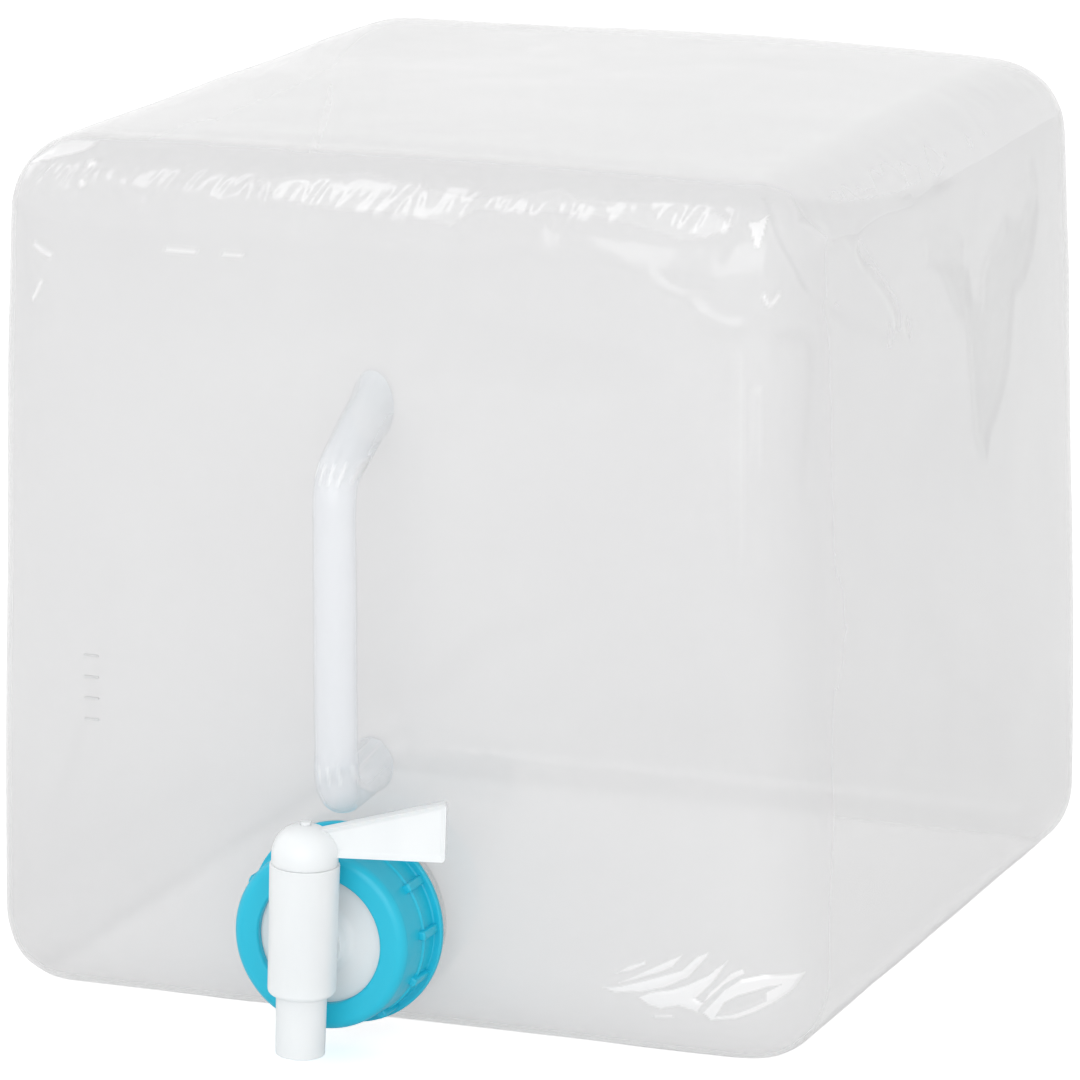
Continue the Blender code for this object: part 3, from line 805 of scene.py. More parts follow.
    def base_form(self, sharp: np.ndarray) -> np.ndarray:
        """Rounds, bulges and tapers the box as the filled bag is.

        Args:
            sharp: Points of the sharp box round the origin.

        Returns:
            The points of the filled form, standing on the floor.
        """
        half = np.array([self.width, self.depth, self.height]) / 2
        inner = np.clip(sharp, -(half - self.edge_radius), half - self.edge_radius)
        out = sharp - inner
        formed = inner + self.edge_radius * out / np.linalg.norm(out, ord=self.edge_power, axis=1)[:, None]
        across, along, up = (formed / half).T
        formed[:, 0] += self.side_bulge * across**3 * (1 - along**2) * (1 - up**2)
        formed[:, 1] += self.side_bulge * along**3 * (1 - across**2) * (1 - up**2)
        formed[:, 2] += self.top_bulge * np.maximum(up, 0) ** 3 * (1 - across**2) * (1 - along**2)
        formed[:, :2] *= (1 - self.taper_share * up)[:, None]
        for side, set_in, drop, power in self.corner_slack:
            near = (1 + side * across) / 2 * (1 + along) / 2 * ((1 + up) / 2) ** 2
            share = np.maximum(near, 0) ** power
            formed[:, 0] -= side * set_in * share
            formed[:, 2] -= drop * share
        formed[:, 2] += half[2]
        return formed

    @staticmethod
    def drawn(limits: Pair, bias: float, chance: random.Random) -> float:
        """Draws a value between two limits, the nearer to the lower one the higher the bias."""
        return limits[0] + (limits[1] - limits[0]) * chance.random() ** bias

    def gather_lift(self, gather: Gather, sharp: np.ndarray, chance: random.Random) -> np.ndarray:
        """Works out what one row of pleats moves.

        Args:
            gather: The row.
            sharp: Points of the sharp box round the origin.
            chance: Source of the pleats' differences.

        Returns:
            How far each point moves out, in metres.
        """
        half = np.array([self.width, self.depth, self.height]) / 2
        one, two = (gather.run + 1) % 3, (gather.run + 2) % 3
        gap_one = half[one] - gather.sides[0] * sharp[:, one]
        gap_two = half[two] - gather.sides[1] * sharp[:, two]
        away = np.where(gap_one < WELD, gap_two, -gap_one)
        start, end = (limit * MM for limit in gather.span)
        along = sharp[:, gather.run]
        close = (np.minimum(gap_one, gap_two) < WELD) & (np.abs(away) < self.pleat_limit)
        close &= (along > start - self.pleat_margin) & (along < end + self.pleat_margin)
        place, gap = along[close], away[close]
        lift = np.zeros(len(place))
        spots, shares = zip(*gather.strength)
        spot = start + chance.uniform(0, gather.pitch[0]) * MM
        while spot < end:
            strong = float(np.interp(spot / MM, spots, shares))
            width = chance.uniform(*gather.width) * MM
            reach = self.drawn(gather.reach, self.reach_bias, chance) * MM
            deep = self.drawn(gather.depth, self.depth_bias, chance) * MM
            lean = chance.uniform(*gather.lean)
            middle = chance.uniform(*gather.shift) * MM
            beside = np.abs(gap - middle)
            offset = (place - spot - lean * (gap - middle)) / (width * (1 + beside / self.pleat_spread))
            fade = np.exp(-((beside / reach) ** self.pleat_fade))
            lift -= strong * deep * np.exp(-np.abs(offset) ** self.pleat_power) * fade
            spot += chance.uniform(*gather.pitch) * MM
        moved = np.zeros(len(sharp))
        moved[close] = lift
        return moved

    def surface_noise(self, formed: np.ndarray) -> np.ndarray:
        """Works out the film's slow unevenness, in metres outwards for each point.

        Args:
            formed: Points of the filled form.

        Returns:
            How far each point moves out, in metres.
        """
        moved = np.zeros(len(formed))
        for index, point in enumerate(formed):
            place = Vector(point)
            slow = noise.noise(place * self.slow_cells)
            quick = noise.noise(place * self.quick_cells + Vector(self.quick_shift))
            moved[index] = self.slow_height * slow + self.quick_height * quick
        return moved

    @staticmethod
    def along_curve(points: np.ndarray, steps: int) -> np.ndarray:
        """Gives places on a smooth curve through a few points, by Catmull-Rom stretches.

        Args:
            points: The points, in order.
            steps: Places on each stretch.

        Returns:
            The places, in order.
        """
        padded = np.vstack([2 * points[0] - points[1], points, 2 * points[-1] - points[-2]])
        places = []
        for index in range(len(points) - 1):
            a, b, c, d = padded[index : index + 4]
            for share in np.linspace(0, 1, steps, endpoint=index == len(points) - 2):
                bend = (2 * a - 5 * b + 4 * c - d) * share**2 + (3 * b - a - 3 * c + d) * share**3
                places.append((2 * b + (c - a) * share + bend) / 2)
        return np.array(places)

    def crease_lift(
        self, crease: Crease, formed: np.ndarray, normals: np.ndarray
    ) -> tuple[np.ndarray, np.ndarray]:
        """Works out what one crease does.

        Args:
            crease: The fold line.
            formed: Points of the filled form.
            normals: Their outward directions.

        Returns:
            How far each point moves out, in metres, and its painted shade, below 0 painted highlight.
        """
        line = self.along_curve(np.array(crease.points) * MM, self.crease_steps)
        width = crease.width * MM
        moved, darker = np.zeros(len(formed)), np.zeros(len(formed))
        low, high = line.min(0) - self.crease_reach * width, line.max(0) + self.crease_reach * width
        close = np.flatnonzero(np.all((formed > low) & (formed < high), axis=1))
        if not len(close):
            return moved, darker
        apart = formed[close][:, None, :] - line[None, :, :]
        nearest = np.linalg.norm(apart, axis=2).argmin(1)
        heading = np.gradient(line, axis=0)[nearest]
        heading /= np.linalg.norm(heading, axis=1)[:, None]
        offset = apart[np.arange(len(close)), nearest]
        across = np.einsum("ij,ij->i", offset, np.cross(heading, normals[close]))
        beyond = np.abs(np.einsum("ij,ij->i", offset, heading))
        share = nearest / (len(line) - 1)
        rise = np.clip(share / max(crease.ends[0], WELD), 0, 1)
        fall = np.clip((1 - share) / max(crease.ends[1], WELD), 0, 1)
        strength = eased(np.minimum(rise, fall)) * np.exp(-((beyond / width) ** 2))
        ratio = across / (width * (self.thin_end + (1 - self.thin_end) * strength))
        if crease.profile is Profile.RIDGE:
            shape = np.exp(-(ratio**2))
        else:
            shape = -np.exp(-(np.abs(ratio) ** self.valley_power))
        moved[close] = crease.depth * MM * strength * shape
        darker[close] = crease.shade * strength * np.exp(-((across / (self.shade_width * width)) ** 2))
        return moved, darker

    def dent_lift(self, dent: Dent, formed: np.ndarray) -> tuple[np.ndarray, np.ndarray]:
        """Works out what one dent does.

        Args:
            dent: The hollow or swell.
            formed: Points of the filled form.

        Returns:
            How far each point moves out, in metres, and its painted shade, below 0 painted highlight.
        """
        ratio = np.linalg.norm((formed - np.array(dent.centre) * MM) / (np.array(dent.reach) * MM), axis=1)
        share = np.where(ratio < 1, (1 - np.minimum(ratio, 1) ** 2) ** 2, 0.0)
        return -dent.depth * MM * share, dent.shade * share

    def facet_lift(
        self, facet: Facet, formed: np.ndarray, normals: np.ndarray
    ) -> tuple[np.ndarray, np.ndarray]:
        """Works out what one facet does.

        Args:
            facet: The patch.
            formed: Points of the filled form.
            normals: Their outward directions.

        Returns:
            How far each point moves out, in metres, and its painted shade, below 0 painted highlight.
        """
        axis, side = facet.face.value
        outline = np.array(facet.outline) * MM
        kept = [index for index in range(3) if index != axis]
        flat = formed[:, kept]
        inside = np.zeros(len(flat), bool)
        nearest = np.full(len(flat), np.inf)
        for start, end in zip(outline, np.roll(outline, -1, axis=0)):
            run = end - start
            share = np.clip((flat - start) @ run / (run @ run), 0, 1)
            nearest = np.minimum(nearest, np.linalg.norm(flat - start - share[:, None] * run, axis=1))
            crosses = (start[1] > flat[:, 1]) != (end[1] > flat[:, 1])
            with np.errstate(divide="ignore", invalid="ignore"):
                at = start[0] + (flat[:, 1] - start[1]) / (end[1] - start[1]) * run[0]
            inside ^= crosses & (flat[:, 0] < at)
        signed = np.where(inside, nearest, -nearest) / (facet.soft * MM)
        signed[normals[:, axis] * side < self.patch_slope] = -1
        height = (flat - outline.mean(0)) @ np.array(facet.tilt) - facet.depth * MM
        edge = np.clip(signed * self.patch_edge + 0.5, 0, 1)
        return height * eased(np.clip(signed, 0, 1)), facet.shade * edge

    def build(self) -> bpy.types.Object:
        """Shapes the skin, stores its painted shade and painted highlight and opens it into the neck.

        Returns:
            The skin.
        """
        shape = self.grid_box()
        self.refine(shape)
        skin = finished("bag_skin", shape, math.pi)
        mesh = skin.data
        count = len(mesh.vertices)
        sharp = np.zeros(count * 3)
        mesh.vertices.foreach_get("co", sharp)
        sharp = sharp.reshape(-1, 3)
        formed = self.base_form(sharp)
        mesh.vertices.foreach_set("co", formed.ravel())
        mesh.update()
        normals = np.zeros(count * 3)
        mesh.vertices.foreach_get("normal", normals)
        normals = normals.reshape(-1, 3)
        lift, darker = self.surface_noise(formed), np.zeros(count)
        chance = random.Random(self.seed)
        for gather in self.gathers:
            lift += self.gather_lift(gather, sharp, chance)
        changes = [self.dent_lift(dent, formed) for dent in self.dents]
        changes += [self.facet_lift(facet, formed, normals) for facet in self.facets]
        changes += [self.crease_lift(crease, formed, normals) for crease in self.creases]
        for moved, shaded in changes:
            lift += moved
            darker += shaded
        # Painted shade: film that faces upwards is made darker.
        darker += self.top_shade * np.clip((normals[:, 2] - self.top_slope) / self.top_fade, 0, 1)
        lift *= np.where(normals[:, 2] < self.floor_slope, 0, 1)
        formed += normals * lift[:, None]
        formed[:, 2] = np.maximum(formed[:, 2], 0)
        mesh.vertices.foreach_set("co", formed.ravel())
        on_floor = np.clip((self.floor_band - formed[:, 2]) / self.floor_fade, 0, 1)
        store_film(mesh, darker, BAG_FILM.cover - self.floor_clear * on_floor)
        mesh.update()
        self.open_up(mesh)
        return skin

    def open_up(self, mesh: bpy.types.Mesh) -> None:
        """Cuts each opening in the front face and draws its rim onto the oval.

        Args:
            mesh: The skin's mesh.
        """
        shape = bmesh.new()
        shape.from_mesh(mesh)
        for (across, up), (half_width, half_height) in self.openings:

            def ratio(point: Vector) -> float:
                """Gives a point's distance from the opening's middle, where 1 is on the oval."""
                return math.hypot((point.x - across) / half_width, (point.z - up) / half_height)

            near = [face for face in shape.faces if face.normal.y < -0.5 and face.calc_center_median().y < 0]
            inside = [face for face in near if ratio(face.calc_center_median()) < 1]
            gone = set(inside)
            corners = {vert for face in inside for vert in face.verts}
            rim = [vert for vert in corners if any(face not in gone for face in vert.link_faces)]
            bmesh.ops.delete(shape, geom=inside, context="FACES")
            for vert in rim:
                share = ratio(vert.co)
                vert.co.x = across + (vert.co.x - across) / share
                vert.co.z = up + (vert.co.z - up) / share
        shape.to_mesh(mesh)
        shape.free()
        mesh.update()


@dataclass(frozen=True)
class Thread:
    """The right-hand thread that the neck and the ring share, with one start.

    Attributes:
        height: How far the rib stands out to each side of its radius, in metres.
        half_width: Half its width, in metres.
        pitch: Rise in one turn, in metres.
        turns: Turns of the thread.
        sunk: How deep the rib's radius lies in the wall, in metres.
        steps: Circles in one turn.
        run_out: Each end grows to full height over the thread's length divided by this.
    """

    height: float = 0.0020
    half_width: float = 0.0012
    pitch: float = 0.005
    turns: float = 2.0
    sunk: float = 0.0004
    steps: int = 72
    run_out: float = 8.0

    def rib(self, wall: float, start: float) -> bmesh.types.BMesh:
        """Builds the thread round local Z.

        Args:
            wall: Radius that the rib's middle lies on.
            start: Height of its first end.

        Returns:
            The rib, closed at both ends.
        """
        stations = []
        last = round(self.turns * self.steps)
        for step in range(last + 1):
            angle = math.tau * self.turns * step / last
            grown = min(1.0, self.run_out * step / last, self.run_out * (last - step) / last)
            radial = Vector((math.cos(angle), math.sin(angle), 0))
            tangent = Vector((-math.sin(angle), math.cos(angle), self.pitch / (math.tau * wall))).normalized()
            middle = radial * wall + Vector((0, 0, start + self.pitch * self.turns * step / last))
            station = Matrix.Identity(4)
            station.col[0] = (*(radial * self.height * max(grown, 0.1)), 0)
            station.col[1] = (*(tangent.cross(radial) * self.half_width), 0)
            station.col[2] = (*tangent, 0)
            station.col[3] = (*middle, 1)
            stations.append(station)
        return swept(stations, 10)


THREAD = Thread()


@dataclass(frozen=True)
class BendFolds:
    """Fine folds across the handle's tube at one of its bends.

    Attributes:
        height: Middle height of the folded stretch, in metres.
        reach: Half its height, in metres.
        lines: How fast the folds follow one another across the tube, in radians for each metre.
        slant: How fast they do so upwards, in radians for each metre.
        pale: Strength of the painted highlight on their tops.
    """

    height: float
    reach: float
    lines: float
    slant: float
    pale: float


@dataclass
class Bag:
    """The blow-moulded bag: its skin, its neck, its hollow handle and the moulded level ticks.

    Sizes are in metres. The growth, flare and turn fields say how the handle's tube widens and turns upright
    on its way from the bar to the film.
    """

    neck_x: float = -0.008
    neck_z: float = 0.0405
    neck_bore: float = 0.0235
    neck_wall: float = 0.0026
    neck_mouth: float = 0.1769
    neck_flare: float = 0.0040
    neck_sunk: float = 0.0006
    neck_round: float = 0.0006
    bead_back: float = 0.0194
    bead_height: float = 0.0030
    thread_back: float = 0.0124
    handle_x: float = -0.0025
    bar_y: float = -0.1815
    handle_radius: float = 0.0069
    handle_bottom: float = 0.0868
    handle_top: float = 0.1890
    bottom_root: float = 0.0905
    top_root: float = 0.2060
    bottom_bend: float = 0.008
    top_bend: float = 0.015
    bottom_growth: float = 1.25
    top_growth: float = 1.58
    root_flare: float = 0.08
    flare_from: float = 0.8
    flare_over: float = 0.2
    turn_from: float = 0.35
    turn_over: float = 0.5
    handle_sunk: float = 0.0012
    handle_sides: int = 72
    bend_steps: int = 12
    circle_pitch: float = 0.0011
    wave_cells: float = 60.0
    wave_height: float = 0.00016
    under_drop: float = 0.0028
    under_fade: float = 0.003
    leg_shade: float = 0.12
    leg_from: float = 0.010
    leg_fade: float = 0.014
    crest: float = 0.35
    root_proud: float = 0.0004
    bend_folds: tuple[BendFolds, ...] = (
        BendFolds(0.1915, 0.0032, 2100, 300, 1.3),
        BendFolds(0.0960, 0.0035, 1900, -260, 0.3),
    )
    tick_x: float = -0.1005
    tick_levels: tuple[float, ...] = (0.095, 0.102, 0.109, 0.116)
    tick_size: Triple = (0.0052, 0.0009, 0.0008)
    tick_round: float = 0.00025
    folded_front: float = -0.150
    form: BagSkin = field(default_factory=BagSkin)

    def gathers(self) -> tuple[Gather, ...]:
        """Names the rows of pleats on the bag's twelve edges, the top front one in full.

        Returns:
            The rows, in the order in which they draw their random numbers.
        """
        swell = (
            (-138, 1.0), (-100, 1.0), (-90, 0.5), (-55, 1.1), (-30, 1.1), (-20, 0.4), (-6, 0.35), (4, 0.9),
            (12, 0.5), (30, 0.9), (60, 0.8), (72, 0.35), (92, 0.45), (100, 1.2), (116, 1.2), (124, 0.6),
        )
        front = Gather(
            run=0, sides=(-1, 1), span=(-128, 128), pitch=(2.4, 5.2), depth=(0.18, 0.62), width=(0.8, 1.5),
            reach=(4.5, 12.0), lean=(-0.45, -0.05), shift=(3.0, 8.0), strength=swell,
        )
        wide = Gather(
            run=0, sides=(-1, 1), span=(-126, 126), pitch=(7.0, 16.0), depth=(0.25, 0.8), width=(2.4, 4.6),
            reach=(10.0, 24.0), strength=((0, 0.8),),
        )
        corner = ((-140, 1.8), (-105, 0.8), (0, 0.5), (105, 0.8), (140, 1.8))
        rows = [front, wide]
        for run, reach in ((0, 128), (1, 136), (2, 128)):
            for sides in ((-1, -1), (-1, 1), (1, -1), (1, 1)):
                if (run, sides) != (0, (-1, 1)):
                    calm = 0.25 if run == 1 or sides[1] < 0 else 0.35
                    strength = tuple((place, share * calm) for place, share in corner)
                    rows.append(Gather(run, sides, (-reach, reach), width=(2.6, 4.6), strength=strength))
        return tuple(rows)

    def creases(self) -> tuple[Crease, ...]:
        """Names the folds that the filled bag shows, with their painted shade and painted highlight.

        Returns:
            The folds.
        """
        # The leaf's fold lines carry painted shade.
        leaf = (
            Crease(
                ((118, -127, 279), (124, -135, 273), (128, -138, 266), (131, -137, 260), (134, -133, 251),
                 (136, -129, 246)),
                1.5, 0.5, Profile.VALLEY, (0.1, 0.2), 0.35,
            ),
            Crease(
                ((136, -129, 246), (138, -108, 235), (139, -93, 230), (139, -75, 224), (140, -61, 222)),
                3.4, -0.4, Profile.RIDGE, (0.15, 0.15), 0.3,
            ),
            Crease(
                ((140, -61, 222), (139, -60, 227), (139, -66, 234), (138, -83, 247), (137, -99, 258),
                 (136, -105, 261)),
                2.6, -0.35, Profile.RIDGE, (0.1, 0.4), 0.3,
            ),
            Crease(((137, -93, 258), (138, -89, 251), (138, -82, 246)), 2.2, -0.25, Profile.RIDGE, shade=0.2),
            Crease(((140, -53, 226), (140, -51, 222), (140, -48, 215)), 2.0, -0.2, Profile.RIDGE, shade=0.35),
        )
        # Painted shade along the crest line and the dark column, painted highlight on the two light lines.
        edges = (
            Crease(
                ((-109, -119, 280), (-75, -118, 281), (-41, -116, 281), (-7, -116, 281), (28, -118, 281),
                 (62, -120, 281), (96, -122, 280), (116, -123, 280)),
                6.0, -0.25, Profile.RIDGE, (0.05, 0.05), 0.12,
            ),
            Crease(
                ((127, -142, 234), (131, -138, 236), (136, -131, 230), (135, -135, 194), (135, -137, 166)),
                4.5, 0.5, Profile.VALLEY, (0.1, 0.4), 0.2,
            ),
            Crease(
                ((117, -146, 234), (118, -147, 210), (118, -147, 179), (120, -148, 154)),
                2.2, 0.35, Profile.RIDGE, (0.1, 0.5), -0.2,
            ),
            Crease(
                ((123, -145, 222), (123, -145, 207), (124, -145, 188)),
                2.0, 0.3, Profile.RIDGE, (0.1, 0.5), -0.2,
            ),
            Crease(
                ((100, -151, 247), (108, -151, 241), (117, -151, 239), (124, -149, 245)),
                2.6, 0.4, Profile.RIDGE,
            ),
            Crease(((88, -151, 256), (100, -151, 251), (113, -151, 252)), 3.0, 0.5, shade=0.08),
        )
        # Short strokes and dashes of painted highlight.
        marks = (
            (((124, -143, 250), (126, -142, 246), (129, -140, 250)), 1.1),
            (((-121, -145, 248.5), (-117, -146, 246), (-113, -146, 244.5)), 1.3),
            (((-117, -146, 237), (-119, -146, 233), (-121, -145, 229)), 1.1),
            (((-75, -149, 250), (-69, -149, 250), (-62, -149, 250)), 1.0),
            (((-55, -149, 250), (-47, -149, 250)), 0.9),
            (((91, -150, 17), (98.6, -150, 18)), 0.9),
        )
        roots = (
            Crease(((12, -153, 99), (22, -153, 96)), 1.6, 0.4),
            Crease(((10, -153, 84), (18, -153, 76)), 1.8, 0.4),
            Crease(((-13, -153, 84), (-20, -153, 77)), 1.8, 0.4),
            Crease(((-12, -153, 216), (-20, -153, 224)), 1.8, 0.4),
            Crease(((7, -153, 217), (16, -153, 226)), 1.8, 0.4),
        )
        unseen_hollows = (
            (((96, 148, 262), (70, 151, 225), (52, 152, 180), (44, 152, 140)), 1.1),
            (((-104, 148, 256), (-84, 151, 214), (-78, 152, 168)), 0.9),
            (((-143, 118, 258), (-144, 92, 216), (-144, 80, 172)), 1.0),
        )
        unseen_ridges = (
            (((-112, 148, 24), (-80, 151, 52), (-34, 152, 70)), 0.9),
            (((108, 148, 30), (84, 151, 66), (76, 152, 104)), 0.8),
            (((-142, -96, 40), (-144, -60, 78), (-144, -38, 128)), 0.8),
        )
        # Painted highlight on the marks and the unseen ridges, painted shade in the unseen hollows.
        return (
            *leaf,
            *edges,
            *(Crease(line, width, 0.25, Profile.RIDGE, (0.15, 0.15), -0.95) for line, width in marks),
            *roots,
            *(Crease(line, 7.0, depth, Profile.VALLEY, (0.1, 0.5), 0.1) for line, depth in unseen_hollows),
            *(Crease(line, 7.0, depth, Profile.RIDGE, (0.1, 0.5), -0.08) for line, depth in unseen_ridges),
            Crease(((-60, 120, 283), (-38, 84, 284), (-30, 44, 284)), 7.0, 0.6, ends=(0.15, 0.5)),
        )

    def facets(self) -> tuple[Facet, ...]:
        """Names the flat patches: the fan of painted highlights at the lower right, the painted highlight
        along the top edge and the painted shade of the side's folds.

        Returns:
            The patches.
        """
        fan = (
            (
                (75, 25), (79, 24), (88, 25), (95, 27), (103, 31), (109, 38), (110, 40), (106, 38), (101, 33),
                (90, 29), (81, 26),
            ),
            ((80, 27), (86, 29), (94, 32), (98, 34), (101, 38), (97, 36), (86, 30)),
            ((79, 30), (84, 31.5), (89, 34), (89, 35), (84, 33)),
            (
                (87, 23), (90, 21), (94, 20), (100, 21.5), (106, 20), (108, 23), (105, 24.5), (108, 28),
                (111, 33), (103, 28.5), (98, 26.5), (91, 25),
            ),
            ((105, 24), (111, 30), (116, 37.5), (112, 34.5), (106, 27.5)),
            ((108, 23), (115, 30), (121.5, 34), (121, 35.5), (117, 33.5), (110, 26.5)),
            (
                (108, 20), (110.5, 17.7), (118.5, 19), (124.5, 21.5), (131, 25), (135, 28), (137.5, 33),
                (134, 33.3), (127.5, 33.7), (120.5, 32), (115, 28), (112, 24.5),
            ),
        )
        hole = (
            (112, 19), (115, 24), (119, 26.5), (128, 29.7), (132, 30.3), (128, 28), (128, 25), (122, 22),
            (117, 20),
        )
        wedge = (
            (23, 161), (15, 166), (10, 172), (8, 186), (6, 203), (4, 213), (-2, 215), (-9, 222), (-15, 231),
            (-30, 238), (0, 233), (11, 229), (14, 218), (21, 216), (24, 226), (33, 232), (42, 234), (54, 239),
            (62, 235), (70, 234), (75, 238), (89, 240), (90, 232), (82, 219), (73, 212), (62, 209), (57, 197),
            (51, 187), (41, 178), (28, 170),
        )
        under = (
            (-123, 276), (-95, 270), (-69, 266), (-43, 264), (-18, 262), (14, 258), (-24, 259), (-42, 258),
            (-66, 261), (-84, 260), (-92, 258), (-114, 263), (-129, 270),
        )
        bright = (
            (-43, 270), (-29, 267), (-16, 266), (1, 267), (12, 265.5), (22, 264), (29, 269), (57, 270),
            (77, 269), (97, 265), (105, 266), (113, 270), (107, 273), (95, 275), (75, 274), (62, 274),
            (55, 276), (36, 273), (28, 272), (12, 274), (-10, 277), (-32, 275), (-46, 273),
        )
        brightest = ((99, 267), (105, 266), (113, 270), (108, 273), (103, 273))
        tip = ((118, 271), (122, 263), (123, 267), (123, 273), (121, 271))
        corner = ((-127, 271), (-122, 275), (-118, 278), (-105, 280), (-107, 277), (-115, 275), (-122, 273))
        band = ((-33, 250), (-1, 245), (8, 239), (6, 232), (-30, 238))
        scrap = ((75, 253), (85, 252), (91, 242), (88, 241), (78, 244))
        painted_shade_spot = ((-28, 257), (-19, 260), (-17, 263), (1, 260), (-4, 258))
        # The fan's strokes are raised ridges with painted highlight, its hole painted shade; the top edge's
        # band, tip and upper left corner are painted highlight; the right side's patches are painted shade.
        return (
            *(Facet(Face.FRONT, outline, -0.25, -0.95, 1.2, (0.01, 0.02)) for outline in fan),
            Facet(Face.FRONT, hole, 0.2, 0.95, 1.2),
            Facet(Face.FRONT, bright, 0.0, -0.25, 2.5),
            Facet(Face.FRONT, brightest, 0.0, -0.3, 1.5),
            Facet(Face.FRONT, tip, -0.2, -0.95, 1.0),
            Facet(Face.FRONT, corner, -0.2, -1.0, 1.5),
            Facet(Face.RIGHT, wedge, 0.3, 0.75, 7.0),
            Facet(Face.RIGHT, band, 0.2, 0.22, 4.0),
            Facet(Face.RIGHT, scrap, 0.2, 0.3, 3.0),
            Facet(Face.RIGHT, painted_shade_spot, 0.1, 0.6, 2.5),
            Facet(Face.RIGHT, under, 0.3, 0.45, 4.0),
        )

    def dents(self) -> tuple[Dent, ...]:
        """Names the wide hollows and swells."""
        return (
            Dent((2, -144, 270), (40, 14, 15), 1.4),
            Dent((98, -144, 268), (30, 15, 17), 1.4),
            Dent((42, -143, 271), (20, 12, 10), -0.5),
            Dent((-110, -140, 268), (22, 16, 14), 0.8),
            # These two hollows carry faint painted shade.
            Dent((60, -152, 236), (60, 22, 26), 0.9, 0.03),
            Dent((118, -150, 226), (20, 16, 40), 0.9, 0.05),
            Dent((143, 55, 215), (16, 44, 50), 1.0),
            Dent((-30, 40, 286), (90, 100, 20), 1.4),
            Dent((112, -151, 30), (36, 20, 20), 1.0),
            Dent((-143, -60, 120), (20, 80, 100), 1.8),
            Dent((-143, 70, 200), (20, 60, 60), 1.4),
            Dent((20, 152, 120), (100, 20, 90), 1.8),
            Dent((143, -10, 90), (20, 90, 60), 1.2),
            # Two small swells that carry painted highlight.
            Dent((-104, -138, 274), (1.9, 6, 1.9), -0.1, -1.0),
            Dent((-105, -142, 268), (1.9, 6, 1.9), -0.1, -1.0),
        )

    def openings(self) -> tuple[tuple[Pair, Pair], ...]:
        """Gives the middle and half sizes of each opening in the front face, which is the neck's alone."""
        neck = self.neck_bore + self.neck_wall / 2
        return (((self.neck_x, self.neck_z), (neck, neck)),)

    def skin(self) -> bpy.types.Object:
        """Builds the skin and lets it stand for the three walls of the frame.

        Returns:
            The skin.
        """
        form = self.form
        form.openings, form.gathers = self.openings(), self.gathers()
        form.creases, form.facets, form.dents = self.creases(), self.facets(), self.dents()
        form.fine_boxes = (
            ((-139, -148, 112), (139, -147, 141)),
            ((-139, -148, 139.9), (139, -138, 141)),
            ((70, -148, -130), (139, -147, -96)),
            ((-139, -148, 80), (-100, -147, 141)),
            ((-80, -148, 107), (-40, -147, 113)),
            ((95, -148, 92), (139, -147, 141)),
            ((138, -148, 75), (139, -40, 141)),
            ((138, -34, 18), (139, 94, 103)),
        )
        form.finest_boxes = (
            ((72, -148, -125), (139, -147, -98)),
            ((138, -148, -120), (139, -128, -98)),
            ((-127, -148, 88), (-100, -147, 138)),
        )
        form.medium_boxes = (
            ((138, -148, 10), (139, 110, 141)),
            ((40, -148, 60), (139, -147, 141)),
            ((60, -148, -141), (139, -147, -70)),
            ((-139, -148, 50), (-60, -147, 141)),
        )
        skin = form.build()
        skin.data.materials.append(BAG_FILM.material())
        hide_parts("bag_front_panel", "bag_side_walls", "bag_rear_panel")
        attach(skin, "bag")
        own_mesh(skin)
        return skin

    def neck(self) -> bpy.types.Object:
        """Builds the threaded neck with its flared foot and its bead.

        Returns:
            The neck.
        """
        outer = self.neck_bore + self.neck_wall
        root = -self.form.front_at(self.neck_x, self.neck_z) - self.neck_sunk
        mouth, bead = self.neck_mouth, self.neck_mouth - self.bead_back
        flare, edge = self.neck_flare, self.neck_round
        outline = [(self.neck_bore, root), (outer + flare, root)]
        outline += arc((outer + flare, root + self.neck_sunk + flare), flare, 270, 180, 6)
        outline += [(outer, bead - edge), (outer + self.bead_height, bead - edge)]
        outline += arc((outer + self.bead_height, bead), edge, -90, 90, 4)
        outline += [(outer, bead + edge), (outer, mouth - edge)]
        outline += arc((outer - edge, mouth - edge), edge, 0, 90, 3)
        outline += arc((self.neck_bore + edge, mouth - edge), edge, 90, 180, 3)
        neck = finished("bag_neck", turned(outline, 96))
        thread = finished("neck_thread", THREAD.rib(outer - THREAD.sunk, mouth - self.thread_back))
        combined(neck, thread)
        outward = Matrix.Translation((self.neck_x, 0, self.neck_z)) @ Z_TO_FRONT
        dressed(placed(neck, outward), NECK_FILM.material())
        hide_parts("threaded_neck")
        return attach(neck, "bag")

    def handle_route(self) -> list[Vector]:
        """Gives the handle's middle line as (Y, Z) places, from the lower root to the upper one.

        Returns:
            The places, in order.
        """
        low, high = (
            Vector((self.form.front_at(self.handle_x, height) + self.handle_sunk, height))
            for height in (self.bottom_root, self.top_root)
        )
        corners = [low, Vector((self.bar_y, self.handle_bottom)), Vector((self.bar_y, self.handle_top)), high]
        points = [low]
        for index, bend in ((1, self.bottom_bend), (2, self.top_bend)):
            here = corners[index]
            back = (corners[index - 1] - here).normalized()
            on = (corners[index + 1] - here).normalized()
            run = bend / math.tan(back.angle(on) / 2)
            start, end = here + back * run, here + on * run
            for step in range(self.bend_steps + 1):
                share = step / self.bend_steps
                points.append(start * (1 - share) ** 2 + here * 2 * share * (1 - share) + end * share**2)
        points.append(high)
        route: list[Vector] = []
        for near, far in zip(points, points[1:]):
            pieces = max(1, round((far - near).length / self.circle_pitch))
            route += [near.lerp(far, step / pieces) for step in range(pieces)]
        return route + [points[-1]]

